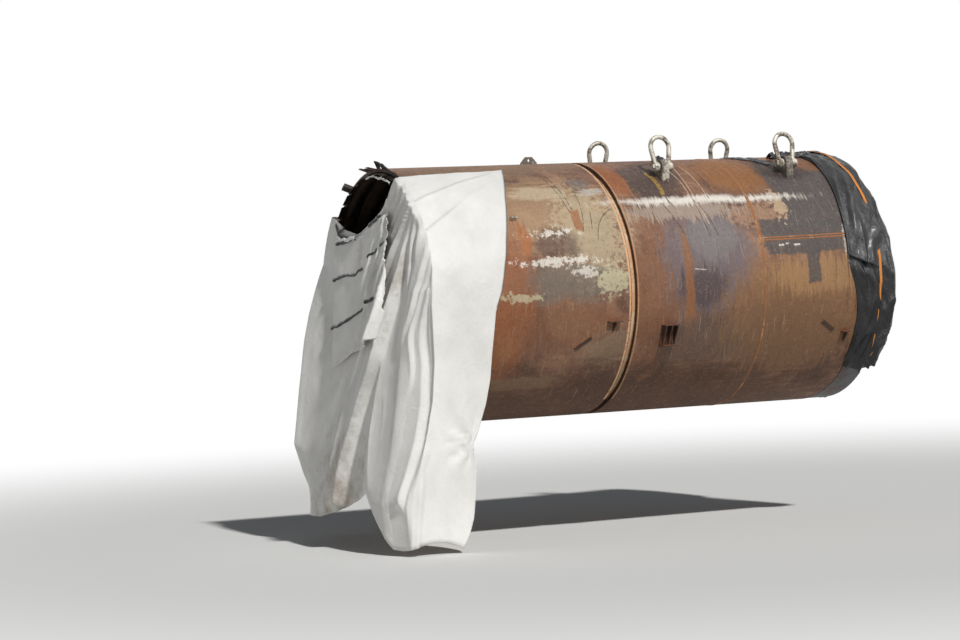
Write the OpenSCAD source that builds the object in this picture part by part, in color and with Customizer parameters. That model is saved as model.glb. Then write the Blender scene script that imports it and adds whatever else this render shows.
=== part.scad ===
/* [Shield] */
// Outer radius of the shield skins
shield_r = 2100; // [1900:10:2300]
// Plate thickness of the front shield skin
front_wall = 70; // [50:5:90]
// Plate thickness of the centre shield skin
centre_wall = 60; // [45:5:80]
// Plate thickness of the tail skin
tail_wall = 50; // [40:5:60]
// Length of the front shield along the axis
front_len = 1850; // [1700:10:2100]
// Length of the centre shield along the axis
centre_len = 2400; // [2250:10:2700]
// Length of the tail shield along the axis
tail_len = 3450; // [3100:10:3800]
// Distance from the hoisting centre forward to the seam of centre and front shield
seam_ahead = 100; // [0:10:200]

/* [Articulation] */
// Open gap between centre shield and tail
joint_gap = 100; // [90:5:130]
// Radial step from the shield surface down to the ball sleeve
ball_step = 80; // [72:1:90]
// Length of the ball sleeve
sleeve_len = 400; // [360:10:440]
// Wall of the ball sleeve at its middle
sleeve_wall = 36; // [34:1:44]

/* [Cutterhead] */
// Depth of the cutterhead rim
rim_depth = 430; // [380:10:480]
// Running gap between front shield and cutterhead rim
head_gap = 25; // [15:5:40]
// Amount that the rim stays inside the shield surface
rim_inset = 8; // [4:1:16]
// Thickness of the face plate
face_plate = 90; // [60:5:120]
// Radius of a disc cutter's cutting edge
disc_r = 216; // [190:2:230]
// Height of the disc edges above the face plate
disc_proud = 145; // [110:5:160]
// Radius of the shaft that carries the cutterhead
shaft_r = 400; // [360:5:440]

/* [Thrust] */
// Number of thrust cylinders round the shield
ram_count = 16; // [16:4:16]
// Gap between the centre shield's inner face and the thrust cylinders
ram_gap = 100; // [90:1:115]
// Outer radius of a thrust cylinder
barrel_r = 105; // [95:1:110]
// Radius of a piston rod
rod_r = 70; // [60:1:75]
// Working stroke of the thrust cylinders
ram_stroke = 1500; // [1300:10:1600]

/* [Lifting] */
// Distance of each lifting lug from the hoisting centre along the axis
lug_ahead = 1200; // [1000:10:1400]
// Angle of each lug from the crown
lug_phi = 30; // [25:1:40]
// Thickness of a lug plate
lug_t = 130; // [110:5:140]
// Radius of the shackle pin
pin_r = 45; // [40:1:50]
// Radius of the shackle's bar
bar_r = 38; // [34:1:42]
// Radius of the bow's centre line
bow_r = 172; // [160:1:185]
// Height of the bow's centre above the pin
bow_rise = 330; // [300:5:360]

/* [Covers] */
// Thickness of the plain solids that stand for the sheeting
sheet_t = 30; // [20:1:40]
// Width of the orange strap over the front cover
strap_w = 50; // [40:1:60]

/* [Hidden] */

// Clearances: seats within a body, running fits, and moving pieces
seat = 0.3;
run = 0.05;
free = 6;

// Stations along the axis, from the front back to the tail rim
seam_x = seam_ahead;
front_x = seam_x + front_len;
centre_x = seam_x - centre_len;
tail_x = centre_x - joint_gap;
rim_x = tail_x - tail_len;
pivot_x = (centre_x + tail_x) / 2;

// Radii of the skins' inner faces
front_in = shield_r - front_wall;
centre_in = shield_r - centre_wall;
tail_in = shield_r - tail_wall;

// Ball joint between centre shield and tail
ball_r = shield_r - ball_step;
sleeve_in = ball_r - sleeve_wall;
ball_seat_near = 80;
ball_seat_len = 110;

// Port for the screw conveyor
port_r = 280;
port_wall = 20;
port_z = -(front_in - 700);
port_flange_r = port_r + 120;
port_circle_r = port_r + 65;
port_flange_t = 35;
port_bolt_r = 13;
port_bolts = 12;
port_len = 160;

// Bulkhead and main drive
plenum_len = 1170;
bulkhead_x = front_x - plenum_len;
bulkhead_t = 80;
drive_r = -port_z - port_flange_r - 80;
drive_behind = 380;
drive_ahead = 400;
drive_floor = 120;
drive_back_x = bulkhead_x - drive_behind;
drive_front_x = bulkhead_x + drive_ahead;
shaft_back_x = drive_back_x + drive_floor;
shaft_step = 12;
motor_r = 150;
motor_circle_r = drive_r - 260;
motor_len = 520;
motor_neck = 0.45;
motor_count = 6;

// Crew hatch and its hinge
hatch_r = 300;
hatch_y = front_in - 800;
hatch_z = 620;
hatch_lap = 45;
hatch_t = 45;
hatch_pin_r = 20;
hatch_pin_y = hatch_y + hatch_r + 110;
hatch_pin_x = bulkhead_x - 46;
hinge_half = 175;
hinge_eye_z = 140;
hinge_eye_half = 36;
hatch_arm_half = 60;
hatch_rib = 30;

// Thrust cylinders
ram_circle_r = centre_in - ram_gap - barrel_r;
jack_ring_x = centre_x + 240;
jack_ring_t = 70;
jack_ring_in = ram_circle_r - barrel_r - 95;
barrel_back_x = centre_x - 30;
barrel_front_x = jack_ring_x + ram_stroke + 470;
thrust_ring_x = barrel_front_x - 250;
shoe_gap = 300;
shoe_t = 120;
shoe_in = ram_circle_r - 95;
shoe_out = sleeve_in - 36;
shoe_half = 9.5;
ram_pitch = 360 / ram_count;
rod_inside = barrel_front_x - 120;
collar_wall = 12;

// Segment erector
rail_out = jack_ring_in - 210;
rail_in = rail_out - 190;
rail_x = jack_ring_x - 470;
rail_w = 230;
rail_groove = 20;
rail_groove_w = 140;
roller_r = 60;
roller_pin_r = 26;
roller_pin_end = 100;
roller_block = 120;
roller_block_len = 200;
roller_block_r = rail_out + 14;
roller_count = 8;
weight_len = 280;
weight_half = 32;
arm_phi = 24;
arm_len = 720;
arm_half = 70;
arm_r = rail_out - arm_half - 30;
arm_y = arm_r * sin(arm_phi);
arm_z = arm_r * cos(arm_phi) - 20;
bridge_h = 200;
bridge_half = 110;
bridge_r0 = arm_r - 640;
bridge_r1 = bridge_r0 + bridge_h;
bridge_x = rail_x - 480;
guide_r = 45;
guide_half = 210;
guide_foot = 60;
head_h = 110;
head_deep = 480;
head_r0 = bridge_r1 + 230;
head_r1 = head_r0 + head_h;
head_half = 390;
knob_h = 45;
knob_r = 60;
reach = 450;

// Cutterhead
head_x = front_x + head_gap;
face_x = head_x + rim_depth;
rim_r = shield_r - rim_inset;
rim_in = rim_r - 85;
rim_lap = 20;
spoke_w = 560;
spoke_back = 100;
hub_r = shaft_r + 30;
hub_back = 60;
nose_h = 110;
nose_r = 340;
nose_top_r = 220;
nose_bar_w = 70;
nose_bar_half = nose_r - 80;
mid_ring_r = 1135;
mid_ring_half = 45;
window_r = rim_in - 207;
pocket_half = 85;
pocket_lap = 20;
gauge_tilt = 40;
disc_w = 78;
disc_edge = 9;
disc_hub_r = 150;
disc_hub_w = 20;
disc_shaft_r = 48;
disc_x = face_x + disc_proud - disc_r;
gauge_reach = shield_r + 10;
gauge_circle_r = gauge_reach - disc_r * sin(gauge_tilt) - 12 * cos(gauge_tilt);

// Tracks of the disc cutters: each long spoke carries three, each short one carries one
long_discs = 3;
disc_first_r = 640;
disc_shift = 90;
disc_last_r = gauge_circle_r - 312;
disc_pitch = (disc_last_r - 3 * disc_shift - disc_first_r) / (long_discs - 1);
short_shift = 45;
short_disc_r = gauge_circle_r - 522;

// Scraper teeth along the long spokes' edges
tooth_w = 60;
tooth_h = 80;
tooth_len = 110;
tooth_pitch = 150;
tooth_first_r = 505;
tooth_count = 8;
tooth_edge = 32;

// Lifting gear
lug_w = 420;
lug_pin_h = 165;
lug_top_r = 120;
lug_foot = 30;
jaw_half = lug_t / 2 + 12;
eye_r = 78;
eye_w = 2 * bar_r + 10;
bow_lean = 10;
bow_lap = 3;

// Tail brushes and end plates
brush_rows = 3;
brush_step = 330;
brush_back = 270;
brush_lean = 150;
brush_reach = 62;
plate_count = 40;
plate_t = 6;
plate_len = 150;
plate_out = 90;
plate_lean = 14;

// Covers
cover_in = shield_r + seat;
head_clear = gauge_reach + 2 * free;
cover_out = head_clear + sheet_t;
cover_back_x = front_x - 100;
cover_end_x = face_x + disc_proud + 2 * free + sheet_t;
cover_phi = 135;
strap_x = face_x - 120;
cover_rim = 60;
curtain_out = 900;
curtain_drop = 6200;
flap_z = 900;

// Small eyes and brackets on the skin
tail_eye_x = tail_x - 700;
tail_eye_z = 62;
tail_eye_r = 24;
tail_eye_t = 30;
side_eye_x = rim_x + 1530;
side_eye_phi = 56;
side_eye_r = 15;
shelf_t = 18;
bar_w = 64;
bar_t = 26;

// Everything that is round about the axis is drawn with the crown at +Z and turned by phi,
// which is positive towards the near side
module on_axis(x = 0) {
    translate([x, 0, -shield_r]) children();
}

module at_phi(phi, x = 0) {
    on_axis(x) rotate([phi, 0, 0]) children();
}

module rod_x(x0, x1, r) {
    translate([x0, 0, 0]) rotate([0, 90, 0]) cylinder(h = x1 - x0, r = r, $fn = 64);
}

module drum(x0, x1, r) {
    translate([x0, 0, 0]) rotate([0, 90, 0]) cylinder(h = x1 - x0, r = r, $fn = 360);
}

module tube(x0, x1, r_out, r_in) {
    difference() {
        drum(x0, x1, r_out);
        drum(x0 - 1, x1 + 1, r_in);
    }
}

module wedge(x0, x1, phi0, phi1) {
    reach_out = 2 * shield_r;
    steps = ceil((phi1 - phi0) / 60);
    translate([x0, 0, 0]) rotate([90, 0, 90])
        linear_extrude(x1 - x0)
        polygon(concat([[0, 0]], [for (i = [0:steps])
            let (a = phi0 + (phi1 - phi0) * i / steps) [-reach_out * sin(a), reach_out * cos(a)]]));
}

module sector(x0, x1, r_out, r_in, phi0, phi1) {
    intersection() {
        tube(x0, x1, r_out, r_in);
        wedge(x0 - 1, x1 + 1, phi0, phi1);
    }
}

module both_sides() {
    children();
    mirror([0, 1, 0]) children();
}

// Shield skins
module front_shield() {
    color("sienna") on_axis() tube(seam_x, front_x, shield_r, front_in);
}

module centre_shield() {
    color("sienna") on_axis() tube(centre_x, seam_x, shield_r, centre_in);
}

module tail_shield() {
    color("peru") on_axis() tube(rim_x, tail_x, shield_r, tail_in);
}

// Bulkhead with the drive's seat, the crew hatch and the screw port
module bulkhead() {
    color("dimgray") on_axis() {
        difference() {
            drum(bulkhead_x, bulkhead_x + bulkhead_t, front_in - seat);
            drum(bulkhead_x - 1, bulkhead_x + bulkhead_t + 1, drive_r + seat);
            translate([0, hatch_y, hatch_z]) drum(bulkhead_x - 1, bulkhead_x + bulkhead_t + 1, hatch_r);
            translate([0, 0, port_z])
                drum(bulkhead_x - 1, bulkhead_x + bulkhead_t + 1, port_r + port_wall + seat);
        }
        for (side = [-1, 1])
            difference() {
                translate([hatch_pin_x - hinge_eye_half, hatch_pin_y - hinge_eye_half,
                    hatch_z + side * hinge_eye_z - hinge_eye_half + 1])
                    cube([bulkhead_x - hatch_pin_x + hinge_eye_half, 2 * hinge_eye_half,
                        2 * hinge_eye_half - 2]);
                translate([hatch_pin_x, hatch_pin_y, hatch_z + side * hinge_eye_z - hinge_eye_half])
                    cylinder(h = 2 * hinge_eye_half, r = hatch_pin_r + run, $fn = 48);
            }
    }
}

module screw_port() {
    color("dimgray") on_axis() translate([0, 0, port_z])
        difference() {
            union() {
                drum(bulkhead_x - port_len, bulkhead_x + bulkhead_t, port_r + port_wall);
                drum(bulkhead_x - port_len, bulkhead_x - port_len + port_flange_t, port_flange_r);
            }
            drum(bulkhead_x - port_len - 1, bulkhead_x + bulkhead_t + 1, port_r);
            for (i = [0:port_bolts - 1])
                rotate([360 / port_bolts * (i + 0.5), 0, 0])
                    translate([0, 0, port_circle_r])
                    rod_x(bulkhead_x - port_len - 1, bulkhead_x - port_len + port_flange_t + 1, port_bolt_r);
        }
}

// Round crew hatch, hung on an upright pin
module hatch_door() {
    color("slategray") on_axis() {
        x1 = bulkhead_x - seat;
        difference() {
            union() {
                translate([0, hatch_y, hatch_z]) drum(x1 - hatch_t, x1, hatch_r + hatch_lap);
                translate([x1 - hatch_t, hatch_y, hatch_z - hatch_arm_half])
                    cube([hatch_t, hatch_pin_y - hatch_y, 2 * hatch_arm_half]);
            }
            translate([hatch_pin_x, hatch_pin_y, hatch_z - hatch_arm_half - 1])
                cylinder(h = 2 * hatch_arm_half + 2, r = hatch_pin_r, $fn = 48);
        }
        translate([hatch_pin_x, hatch_pin_y, hatch_z - hinge_half])
            cylinder(h = 2 * hinge_half, r = hatch_pin_r, $fn = 48);
        translate([hatch_pin_x, hatch_pin_y, hatch_z - hatch_arm_half])
            difference() {
                cylinder(h = 2 * hatch_arm_half, r = hatch_pin_r + 18, $fn = 48);
                translate([0, 0, -1]) cylinder(h = 2 * hatch_arm_half + 2, r = hatch_pin_r, $fn = 48);
            }
        translate([0, hatch_y, hatch_z])
            for (turn = [0, 90])
                rotate([turn, 0, 0])
                translate([x1 - hatch_t - hatch_rib, -20, -hatch_r * 0.7])
                cube([hatch_rib, 40, hatch_r * 1.4]);
    }
}

// Drive housing with the main bearing's bore, and its ring of motors
module main_drive() {
    color("dimgray") on_axis() {
        difference() {
            drum(drive_back_x, drive_front_x, drive_r);
            drum(shaft_back_x - free, drive_front_x + 1, shaft_r + run);
        }
    }
}

module drive_motors() {
    color("slategray")
        for (i = [0:motor_count - 1])
            at_phi(360 / motor_count * (i + 0.5)) translate([0, 0, motor_circle_r]) {
                rod_x(drive_back_x - motor_len * motor_neck, drive_back_x, motor_r);
                rod_x(drive_back_x - motor_len, drive_back_x - motor_len * motor_neck, motor_r * 0.8);
            }
}

// Ball joint: two seats with spherical bores, and the sleeve that turns in both
module ball_bored_ring(side, r_out) {
    on_axis(pivot_x) mirror([side < 0 ? 1 : 0, 0, 0])
        difference() {
            drum(ball_seat_near, ball_seat_near + ball_seat_len, r_out);
            sphere(r = ball_r + seat, $fn = 400);
        }
}

module ball_seat() {
    color("dimgray") ball_bored_ring(1, centre_in - seat);
}

module tail_seal_ring() {
    color("dimgray") ball_bored_ring(-1, tail_in - seat);
}

module ball_sleeve() {
    color("gray") on_axis()
        intersection() {
            tube(pivot_x - sleeve_len / 2, pivot_x + sleeve_len / 2, ball_r + 50, sleeve_in);
            translate([pivot_x, 0, 0]) sphere(r = ball_r, $fn = 400);
        }
}

// Rings that carry the thrust cylinders
module ram_ring(x, t) {
    difference() {
        on_axis() tube(x, x + t, centre_in - seat, jack_ring_in);
        for (i = [0:ram_count - 1])
            at_phi(ram_pitch * (i + 0.5)) translate([0, 0, ram_circle_r])
                rod_x(x - 1, x + t + 1, barrel_r + seat);
    }
}

module jack_ring() {
    color("dimgray") ram_ring(jack_ring_x, jack_ring_t);
}

module thrust_ring() {
    color("dimgray") ram_ring(thrust_ring_x, jack_ring_t);
}

module thrust_barrels() {
    color("orangered")
        for (i = [0:ram_count - 1])
            at_phi(ram_pitch * (i + 0.5)) translate([0, 0, ram_circle_r])
                difference() {
                    rod_x(barrel_back_x, barrel_front_x, barrel_r);
                    rod_x(barrel_back_x - 1, rod_inside + 20, rod_r + run);
                }
}

// A group of piston rods with their thrust shoes
module ram_group(first) {
    shoe_x = barrel_back_x - shoe_gap;
    color("silver")
        for (i = [first:first + ram_count / 4 - 1])
            at_phi(ram_pitch * (i + 0.5)) {
                translate([0, 0, ram_circle_r]) {
                    rod_x(shoe_x - shoe_t / 2, rod_inside, rod_r);
                    rod_x(shoe_x - shoe_t / 3, shoe_x + shoe_t / 6, rod_r + collar_wall);
                }
                sector(shoe_x - shoe_t, shoe_x, shoe_out, shoe_in, -shoe_half, shoe_half);
            }
}

module rams_top() ram_group(-ram_count / 8);
module rams_near() ram_group(ram_count / 8);
module rams_bottom() ram_group(3 * ram_count / 8);
module rams_far() ram_group(5 * ram_count / 8);

// Segment erector: rollers on the jack ring, the ring that turns on them, and the reaching head
module erector_rollers() {
    roller_circle_r = rail_out - rail_groove + roller_r + seat;
    color("gray")
        for (i = [0:roller_count - 1])
            at_phi(360 / roller_count * i) {
                translate([0, 0, roller_circle_r]) {
                    rod_x(rail_x + rail_w / 2 - rail_groove_w / 2 + free,
                        rail_x + rail_w / 2 + rail_groove_w / 2 - free, roller_r);
                    rod_x(rail_x + rail_w / 2, jack_ring_x - roller_pin_end, roller_pin_r);
                }
                translate([jack_ring_x - roller_block_len, -roller_block / 2, roller_block_r])
                    cube([roller_block_len, roller_block, jack_ring_in + roller_block / 2 - roller_block_r]);
            }
}

module erector_ring() {
    color("goldenrod") {
        on_axis()
            difference() {
                tube(rail_x, rail_x + rail_w, rail_out, rail_in);
                tube(rail_x + rail_w / 2 - rail_groove_w / 2, rail_x + rail_w / 2 + rail_groove_w / 2,
                    rail_out + 1, rail_out - rail_groove);
            }
        on_axis() sector(rail_x - weight_len, rail_x, rail_out - 40, rail_in, -weight_half, weight_half);
        at_phi(180)
            difference() {
                union() {
                    for (side = [-1, 1]) {
                        translate([rail_x - arm_len, side * arm_y - arm_half, arm_z - arm_half])
                            cube([arm_len, 2 * arm_half, 2 * arm_half]);
                        translate([bridge_x - bridge_half, side * arm_y - arm_half, bridge_r0])
                            cube([2 * bridge_half, 2 * arm_half, arm_z + arm_half - bridge_r0]);
                    }
                    translate([bridge_x - bridge_half, -arm_y - arm_half, bridge_r0])
                        cube([2 * bridge_half, 2 * (arm_y + arm_half), bridge_h]);
                }
                for (side = [-1, 1])
                    translate([bridge_x, side * guide_half, bridge_r0 - 1])
                        cylinder(h = bridge_h + 2, r = guide_r + run, $fn = 64);
            }
    }
}

module erector_head() {
    color("gold") at_phi(180) {
        translate([bridge_x - head_deep / 2, -head_half, head_r0]) cube([head_deep, 2 * head_half, head_h]);
        for (side = [-1, 1])
            translate([bridge_x, side * guide_half, bridge_r0 + guide_foot - reach])
                cylinder(h = head_r0 - bridge_r0 - guide_foot + reach, r = guide_r, $fn = 64);
        translate([bridge_x, 0, head_r1]) cylinder(h = knob_h, r = knob_r, $fn = 48);
    }
}

// Wire brush rows and the spring plates at the tail's rim
module tail_brushes() {
    color("dimgray")
        for (row = [0:brush_rows - 1])
            on_axis(rim_x + brush_back + row * brush_step)
                rotate([0, 90, 0])
                rotate_extrude($fn = 128)
                polygon([[tail_in - seat, 0], [tail_in - seat, 45],
                    [tail_in - brush_reach, 45 - brush_lean], [tail_in - brush_reach, -brush_lean]]);
}

module tail_end_plates() {
    w = 2 * PI * tail_in / plate_count * 0.82;
    z = sqrt(pow(tail_in - seat, 2) - pow(w / 2, 2));
    color("dimgray")
        for (i = [0:plate_count - 1])
            at_phi(360 / plate_count * i)
                translate([rim_x + plate_len - plate_out, -w / 2, z - plate_t])
                mirror([1, 0, 0])
                rotate([0, plate_lean, 0])
                cube([plate_len, w, plate_t]);
}

// Small eyes on the tail: one on the crown, one on each side
module shell_cut(x0, x1) {
    difference() {
        children();
        on_axis() drum(x0, x1, shield_r + seat);
    }
}

module tail_padeyes() {
    color("sienna") shell_cut(rim_x, tail_x) {
        difference() {
            translate([tail_eye_x, 0, 0]) rotate([90, 0, 0])
                linear_extrude(tail_eye_t, center = true)
                polygon([[-150, -20], [150, -20], [150, 20], [60, 120], [-60, 120], [-150, 20]]);
            translate([tail_eye_x, tail_eye_t / 2 + 1, tail_eye_z])
                rotate([90, 0, 0])
                cylinder(h = tail_eye_t + 2, r = tail_eye_r, $fn = 48);
        }
        both_sides()
            at_phi(side_eye_phi, side_eye_x) translate([0, 0, shield_r])
                difference() {
                    translate([-60, -10, -20]) cube([120, 20, 90]);
                    translate([0, 11, 40]) rotate([90, 0, 0]) cylinder(h = 22, r = side_eye_r, $fn = 48);
                }
    }
}

// Brackets low on the sides: a shelf on a gusset, and a flat bar beside it
module shelf(x, phi, w, out, gusset_h) {
    y = shield_r * sin(phi);
    z = shield_r * cos(phi);
    on_axis(x) translate([0, -y, z]) {
        translate([-w / 2, -out, 0]) cube([w, out + 60, shelf_t]);
        translate([-8, 0, 0]) rotate([90, 0, 90])
            linear_extrude(16)
            polygon([[40, 0], [-out, 0], [-out, -20], [60, -gusset_h]]);
    }
}

module flat_bar(x, phi, turn, length) {
    at_phi(phi, x) translate([0, 0, shield_r]) rotate([0, 0, turn])
        translate([-length / 2, -bar_w / 2, -12]) cube([length, bar_w, bar_t]);
}

module tail_brackets() {
    color("chocolate") both_sides() shell_cut(rim_x, tail_x) {
        shelf(x = tail_x - 320, phi = 105, w = 240, out = 100, gusset_h = 170);
        flat_bar(x = tail_x - 840, phi = 114, turn = 35, length = 330);
    }
}

module centre_brackets() {
    x = centre_x + 610;
    phi = 108;
    w = 270;
    h = 330;
    color("chocolate") both_sides() shell_cut(centre_x, seam_x) {
        shelf(x = x, phi = phi, w = w, out = 130, gusset_h = h);
        for (side = [-1, 1])
            translate([side * (w / 2 - 25), 0, 0]) shelf(x = x, phi = phi, w = 16, out = 130, gusset_h = h);
        on_axis(x) translate([-w / 2, -shield_r * sin(phi) - 60, shield_r * cos(phi) - h]) cube([w, 240, 16]);
    }
}

module front_brackets() {
    color("chocolate") both_sides() shell_cut(seam_x, front_x) {
        shelf(x = front_x - 210, phi = 116, w = 160, out = 100, gusset_h = 160);
        flat_bar(x = front_x - 570, phi = 112, turn = -35, length = 300);
    }
}

// Lifting lug, cut to sit on the skin
module lug(end, side) {
    color("saddlebrown")
        difference() {
            at_phi(side * lug_phi, end * lug_ahead) translate([0, 0, shield_r])
                rotate([90, 0, 90])
                linear_extrude(lug_t, center = true)
                difference() {
                    union() {
                        translate([0, lug_pin_h]) circle(r = lug_top_r, $fn = 96);
                        polygon([[-lug_w / 2, -lug_foot], [lug_w / 2, -lug_foot], [lug_w / 2, 30],
                            [lug_top_r * cos(25), lug_pin_h + lug_top_r * sin(25)],
                            [-lug_top_r * cos(25), lug_pin_h + lug_top_r * sin(25)], [-lug_w / 2, 30]]);
                    }
                    translate([0, lug_pin_h]) circle(r = pin_r + run, $fn = 96);
                }
            on_axis() drum(centre_x, front_x, shield_r + seat);
        }
}

module lug_front_near() lug(1, 1);
module lug_front_far() lug(1, -1);
module lug_rear_near() lug(-1, 1);
module lug_rear_far() lug(-1, -1);

// Bow shackle, its pin along the machine's axis, leaning a little towards the crown
module bow() {
    eye_x = jaw_half + eye_w / 2;
    reach_to_bow = sqrt(pow(eye_x, 2) + pow(bow_rise, 2));
    lean = asin(bow_r / reach_to_bow) - atan(eye_x / bow_rise);
    leg = sqrt(pow(reach_to_bow, 2) - pow(bow_r, 2));
    difference() {
        union() {
            for (side = [-1, 1]) {
                translate([side * eye_x - eye_w / 2, 0, 0]) rod_x(0, eye_w, eye_r);
                translate([side * eye_x, 0, 0]) rotate([0, side * lean, 0])
                    cylinder(h = leg, r = bar_r + 2, $fn = 64);
            }
            translate([0, 0, bow_rise]) rotate([90, 0, 0]) rotate([0, 0, -lean - bow_lap])
                rotate_extrude(angle = 180 + 2 * (lean + bow_lap), $fn = 96)
                translate([bow_r, 0]) circle(r = bar_r, $fn = 48);
        }
        rod_x(-eye_x - eye_w, eye_x + eye_w, pin_r + seat);
    }
}

module shackle(end, side) {
    pin_out = jaw_half + eye_w + seat;
    color("gainsboro")
        at_phi(side * lug_phi, end * lug_ahead) translate([0, 0, shield_r + lug_pin_h])
        rotate([-side * (lug_phi + bow_lean), 0, 0]) {
            bow();
            rod_x(-pin_out - 40, pin_out + 30, pin_r);
            rod_x(pin_out, pin_out + 24, pin_r + 20);
            translate([-pin_out - 42, 0, 0]) rotate([0, 90, 0]) cylinder(h = 42, r = pin_r + 24, $fn = 6);
        }
}

module shackle_front_near() shackle(1, 1);
module shackle_front_far() shackle(1, -1);
module shackle_rear_near() shackle(-1, 1);
module shackle_rear_far() shackle(-1, -1);

// Cutterhead: rim, ring and spokes, with pockets for the disc cutters
module disc_places() {
    for (arm = [0:3])
        for (i = [0:long_discs - 1])
            rotate([45 + 90 * arm, 0, 0])
                translate([disc_x, 0, disc_first_r + disc_pitch * i + disc_shift * arm])
                children();
    for (arm = [0:3])
        rotate([90 * arm, 0, 0]) translate([disc_x, 0, short_disc_r + short_shift * arm]) children();
}

module gauge_places() {
    for (arm = [0:7])
        rotate([45 * arm, 0, 0])
            translate([disc_x, 0, gauge_circle_r])
            rotate([0, -gauge_tilt, 0])
            children();
}

module pocket() {
    translate([-disc_r - 15, -disc_r - pocket_lap, -pocket_half])
        cube([2 * disc_r + 200, 2 * (disc_r + pocket_lap), 2 * pocket_half]);
}

module cutterhead() {
    spoke_x = head_x + spoke_back;
    color("goldenrod") on_axis()
        difference() {
            union() {
                tube(head_x, face_x, rim_r, rim_in);
                tube(face_x - face_plate, face_x, rim_r - 1, window_r);
                tube(spoke_x, face_x, mid_ring_r + mid_ring_half, mid_ring_r - mid_ring_half);
                drum(head_x + hub_back, face_x, hub_r);
                for (arm = [0:3]) {
                    rotate([45 + 90 * arm, 0, 0]) translate([spoke_x, -spoke_w / 2, 0])
                        cube([face_x - spoke_x, spoke_w, rim_in + rim_lap]);
                    rotate([90 * arm, 0, 0]) translate([spoke_x, -spoke_w / 2, mid_ring_r])
                        cube([face_x - spoke_x, spoke_w, rim_in + rim_lap - mid_ring_r]);
                }
                translate([face_x, 0, 0]) rotate([0, 90, 0])
                    cylinder(h = nose_h, r1 = nose_r, r2 = nose_top_r, $fn = 96);
                for (turn = [0, 90])
                    rotate([turn, 0, 0]) translate([face_x, -nose_bar_w / 2, -nose_bar_half])
                        cube([disc_proud, nose_bar_w, 2 * nose_bar_half]);
            }
            disc_places() pocket();
            gauge_places() pocket();
        }
}

module disc() {
    w = disc_w / 2;
    rotate_extrude($fn = 64)
        polygon([[0, seat - pocket_half], [disc_shaft_r, seat - pocket_half], [disc_shaft_r, -w - disc_hub_w],
            [disc_hub_r, -w - disc_hub_w], [disc_hub_r, -w], [disc_r - 30, -w / 2], [disc_r, -disc_edge],
            [disc_r, disc_edge], [disc_r - 30, w / 2], [disc_hub_r, w], [disc_hub_r, w + disc_hub_w],
            [disc_shaft_r, w + disc_hub_w], [disc_shaft_r, pocket_half - seat], [0, pocket_half - seat]]);
}

module disc_cutters() {
    color("darkgray") on_axis() disc_places() disc();
}

module gauge_cutters() {
    color("darkgray") on_axis() gauge_places() disc();
}

// Scraper teeth along the spokes' edges
module scrapers() {
    color("gray") on_axis()
        for (arm = [0:3])
            for (side = [-1, 1])
                for (i = [0:tooth_count - 1])
                    rotate([45 + 90 * arm, 0, 0])
                        translate([face_x, side * (spoke_w / 2 - tooth_edge) - tooth_w / 2,
                            tooth_first_r + tooth_pitch * i])
                        cube([tooth_h, tooth_w, tooth_len]);
}

module head_shaft() {
    color("dimgray") on_axis() {
        drum(shaft_back_x, drive_front_x + shaft_step, shaft_r);
        drum(drive_front_x + shaft_step, head_x + hub_back, hub_r);
    }
}

// Plain solids for the sheeting: the cover hung over the tail, and the one strapped over the front.
// Outlines from the side are columns of [distance ahead of the tail rim, drop below the crown]
module side_view(outline) {
    points = [for (p = outline) [p[0], -p[1]]];
    translate([rim_x, 2 * shield_r, 0]) rotate([90, 0, 0]) linear_extrude(4 * shield_r) polygon(points);
}

// Outlines from the end are columns of [distance to the far side, drop below the crown]
module end_view(outline) {
    points = [for (p = outline) [p[0], -p[1]]];
    translate([rim_x - 2 * curtain_out, 0, 0]) rotate([90, 0, 90])
        linear_extrude(4 * curtain_out)
        polygon(points);
}

module tail_cover_side(phi_top) {
    on_axis() {
        sector(rim_x - cover_rim, tail_x - 100, cover_in + sheet_t, cover_in, phi_top, 90);
        translate([rim_x - curtain_out, -cover_in - sheet_t, shield_r - curtain_drop])
            cube([3 * curtain_out, sheet_t, curtain_drop - shield_r]);
    }
}

module tail_cover_near() {
    color("whitesmoke")
        intersection() {
            tail_cover_side(20);
            side_view([[-cover_rim, -100], [1900, -100], [1900, 125], [1340, 1090], [1050, 2350], [730, 3750],
                [520, 4450], [370, 5300], [250, 6080], [-200, 6080], [-680, 6010], [-560, 5200], [-330, 4100],
                [-cover_rim, shield_r]]);
        }
}

module tail_cover_far() {
    color("whitesmoke")
        intersection() {
            mirror([0, 1, 0]) tail_cover_side(50);
            side_view([[-cover_rim, -100], [1500, -100], [1400, 800], [1000, 2350], [700, 3750], [400, 5000],
                [-600, 5400], [-850, 4550], [-560, 3300], [-cover_rim, shield_r - 300]]);
        }
}

module tail_cover_end() {
    color("whitesmoke")
        difference() {
            intersection() {
                side_view([[-100, 0], [-130, 1100], [-300, 2100], [-560, 3600], [-800, 5100],
                    [-850, curtain_drop], [-850 - sheet_t, curtain_drop], [-800 - sheet_t, 5100], [-560 - sheet_t, 3600],
                    [-300 - sheet_t, 2100], [-130 - sheet_t, 1100], [-100 - sheet_t, 0]]);
                on_axis() union() {
                    drum(rim_x - curtain_out, rim_x, shield_r);
                    translate([rim_x - curtain_out, -shield_r, shield_r - curtain_drop])
                        cube([curtain_out, 2 * shield_r, curtain_drop - shield_r]);
                }
            }
            end_view([[-730, -100], [-730, 210], [-480, 440], [-100, 690], [310, 900], [790, 1060],
                [1060, 1010], [1640, 720], [1700, -100]]);
            end_view([[-2200, 6050], [-1700, 6050], [-1300, 5680], [-880, 5200], [-430, 5350],
                [870, 5650], [1530, 5650], [2200, 5350], [2200, 6300], [-2200, 6300]]);
        }
}

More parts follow.
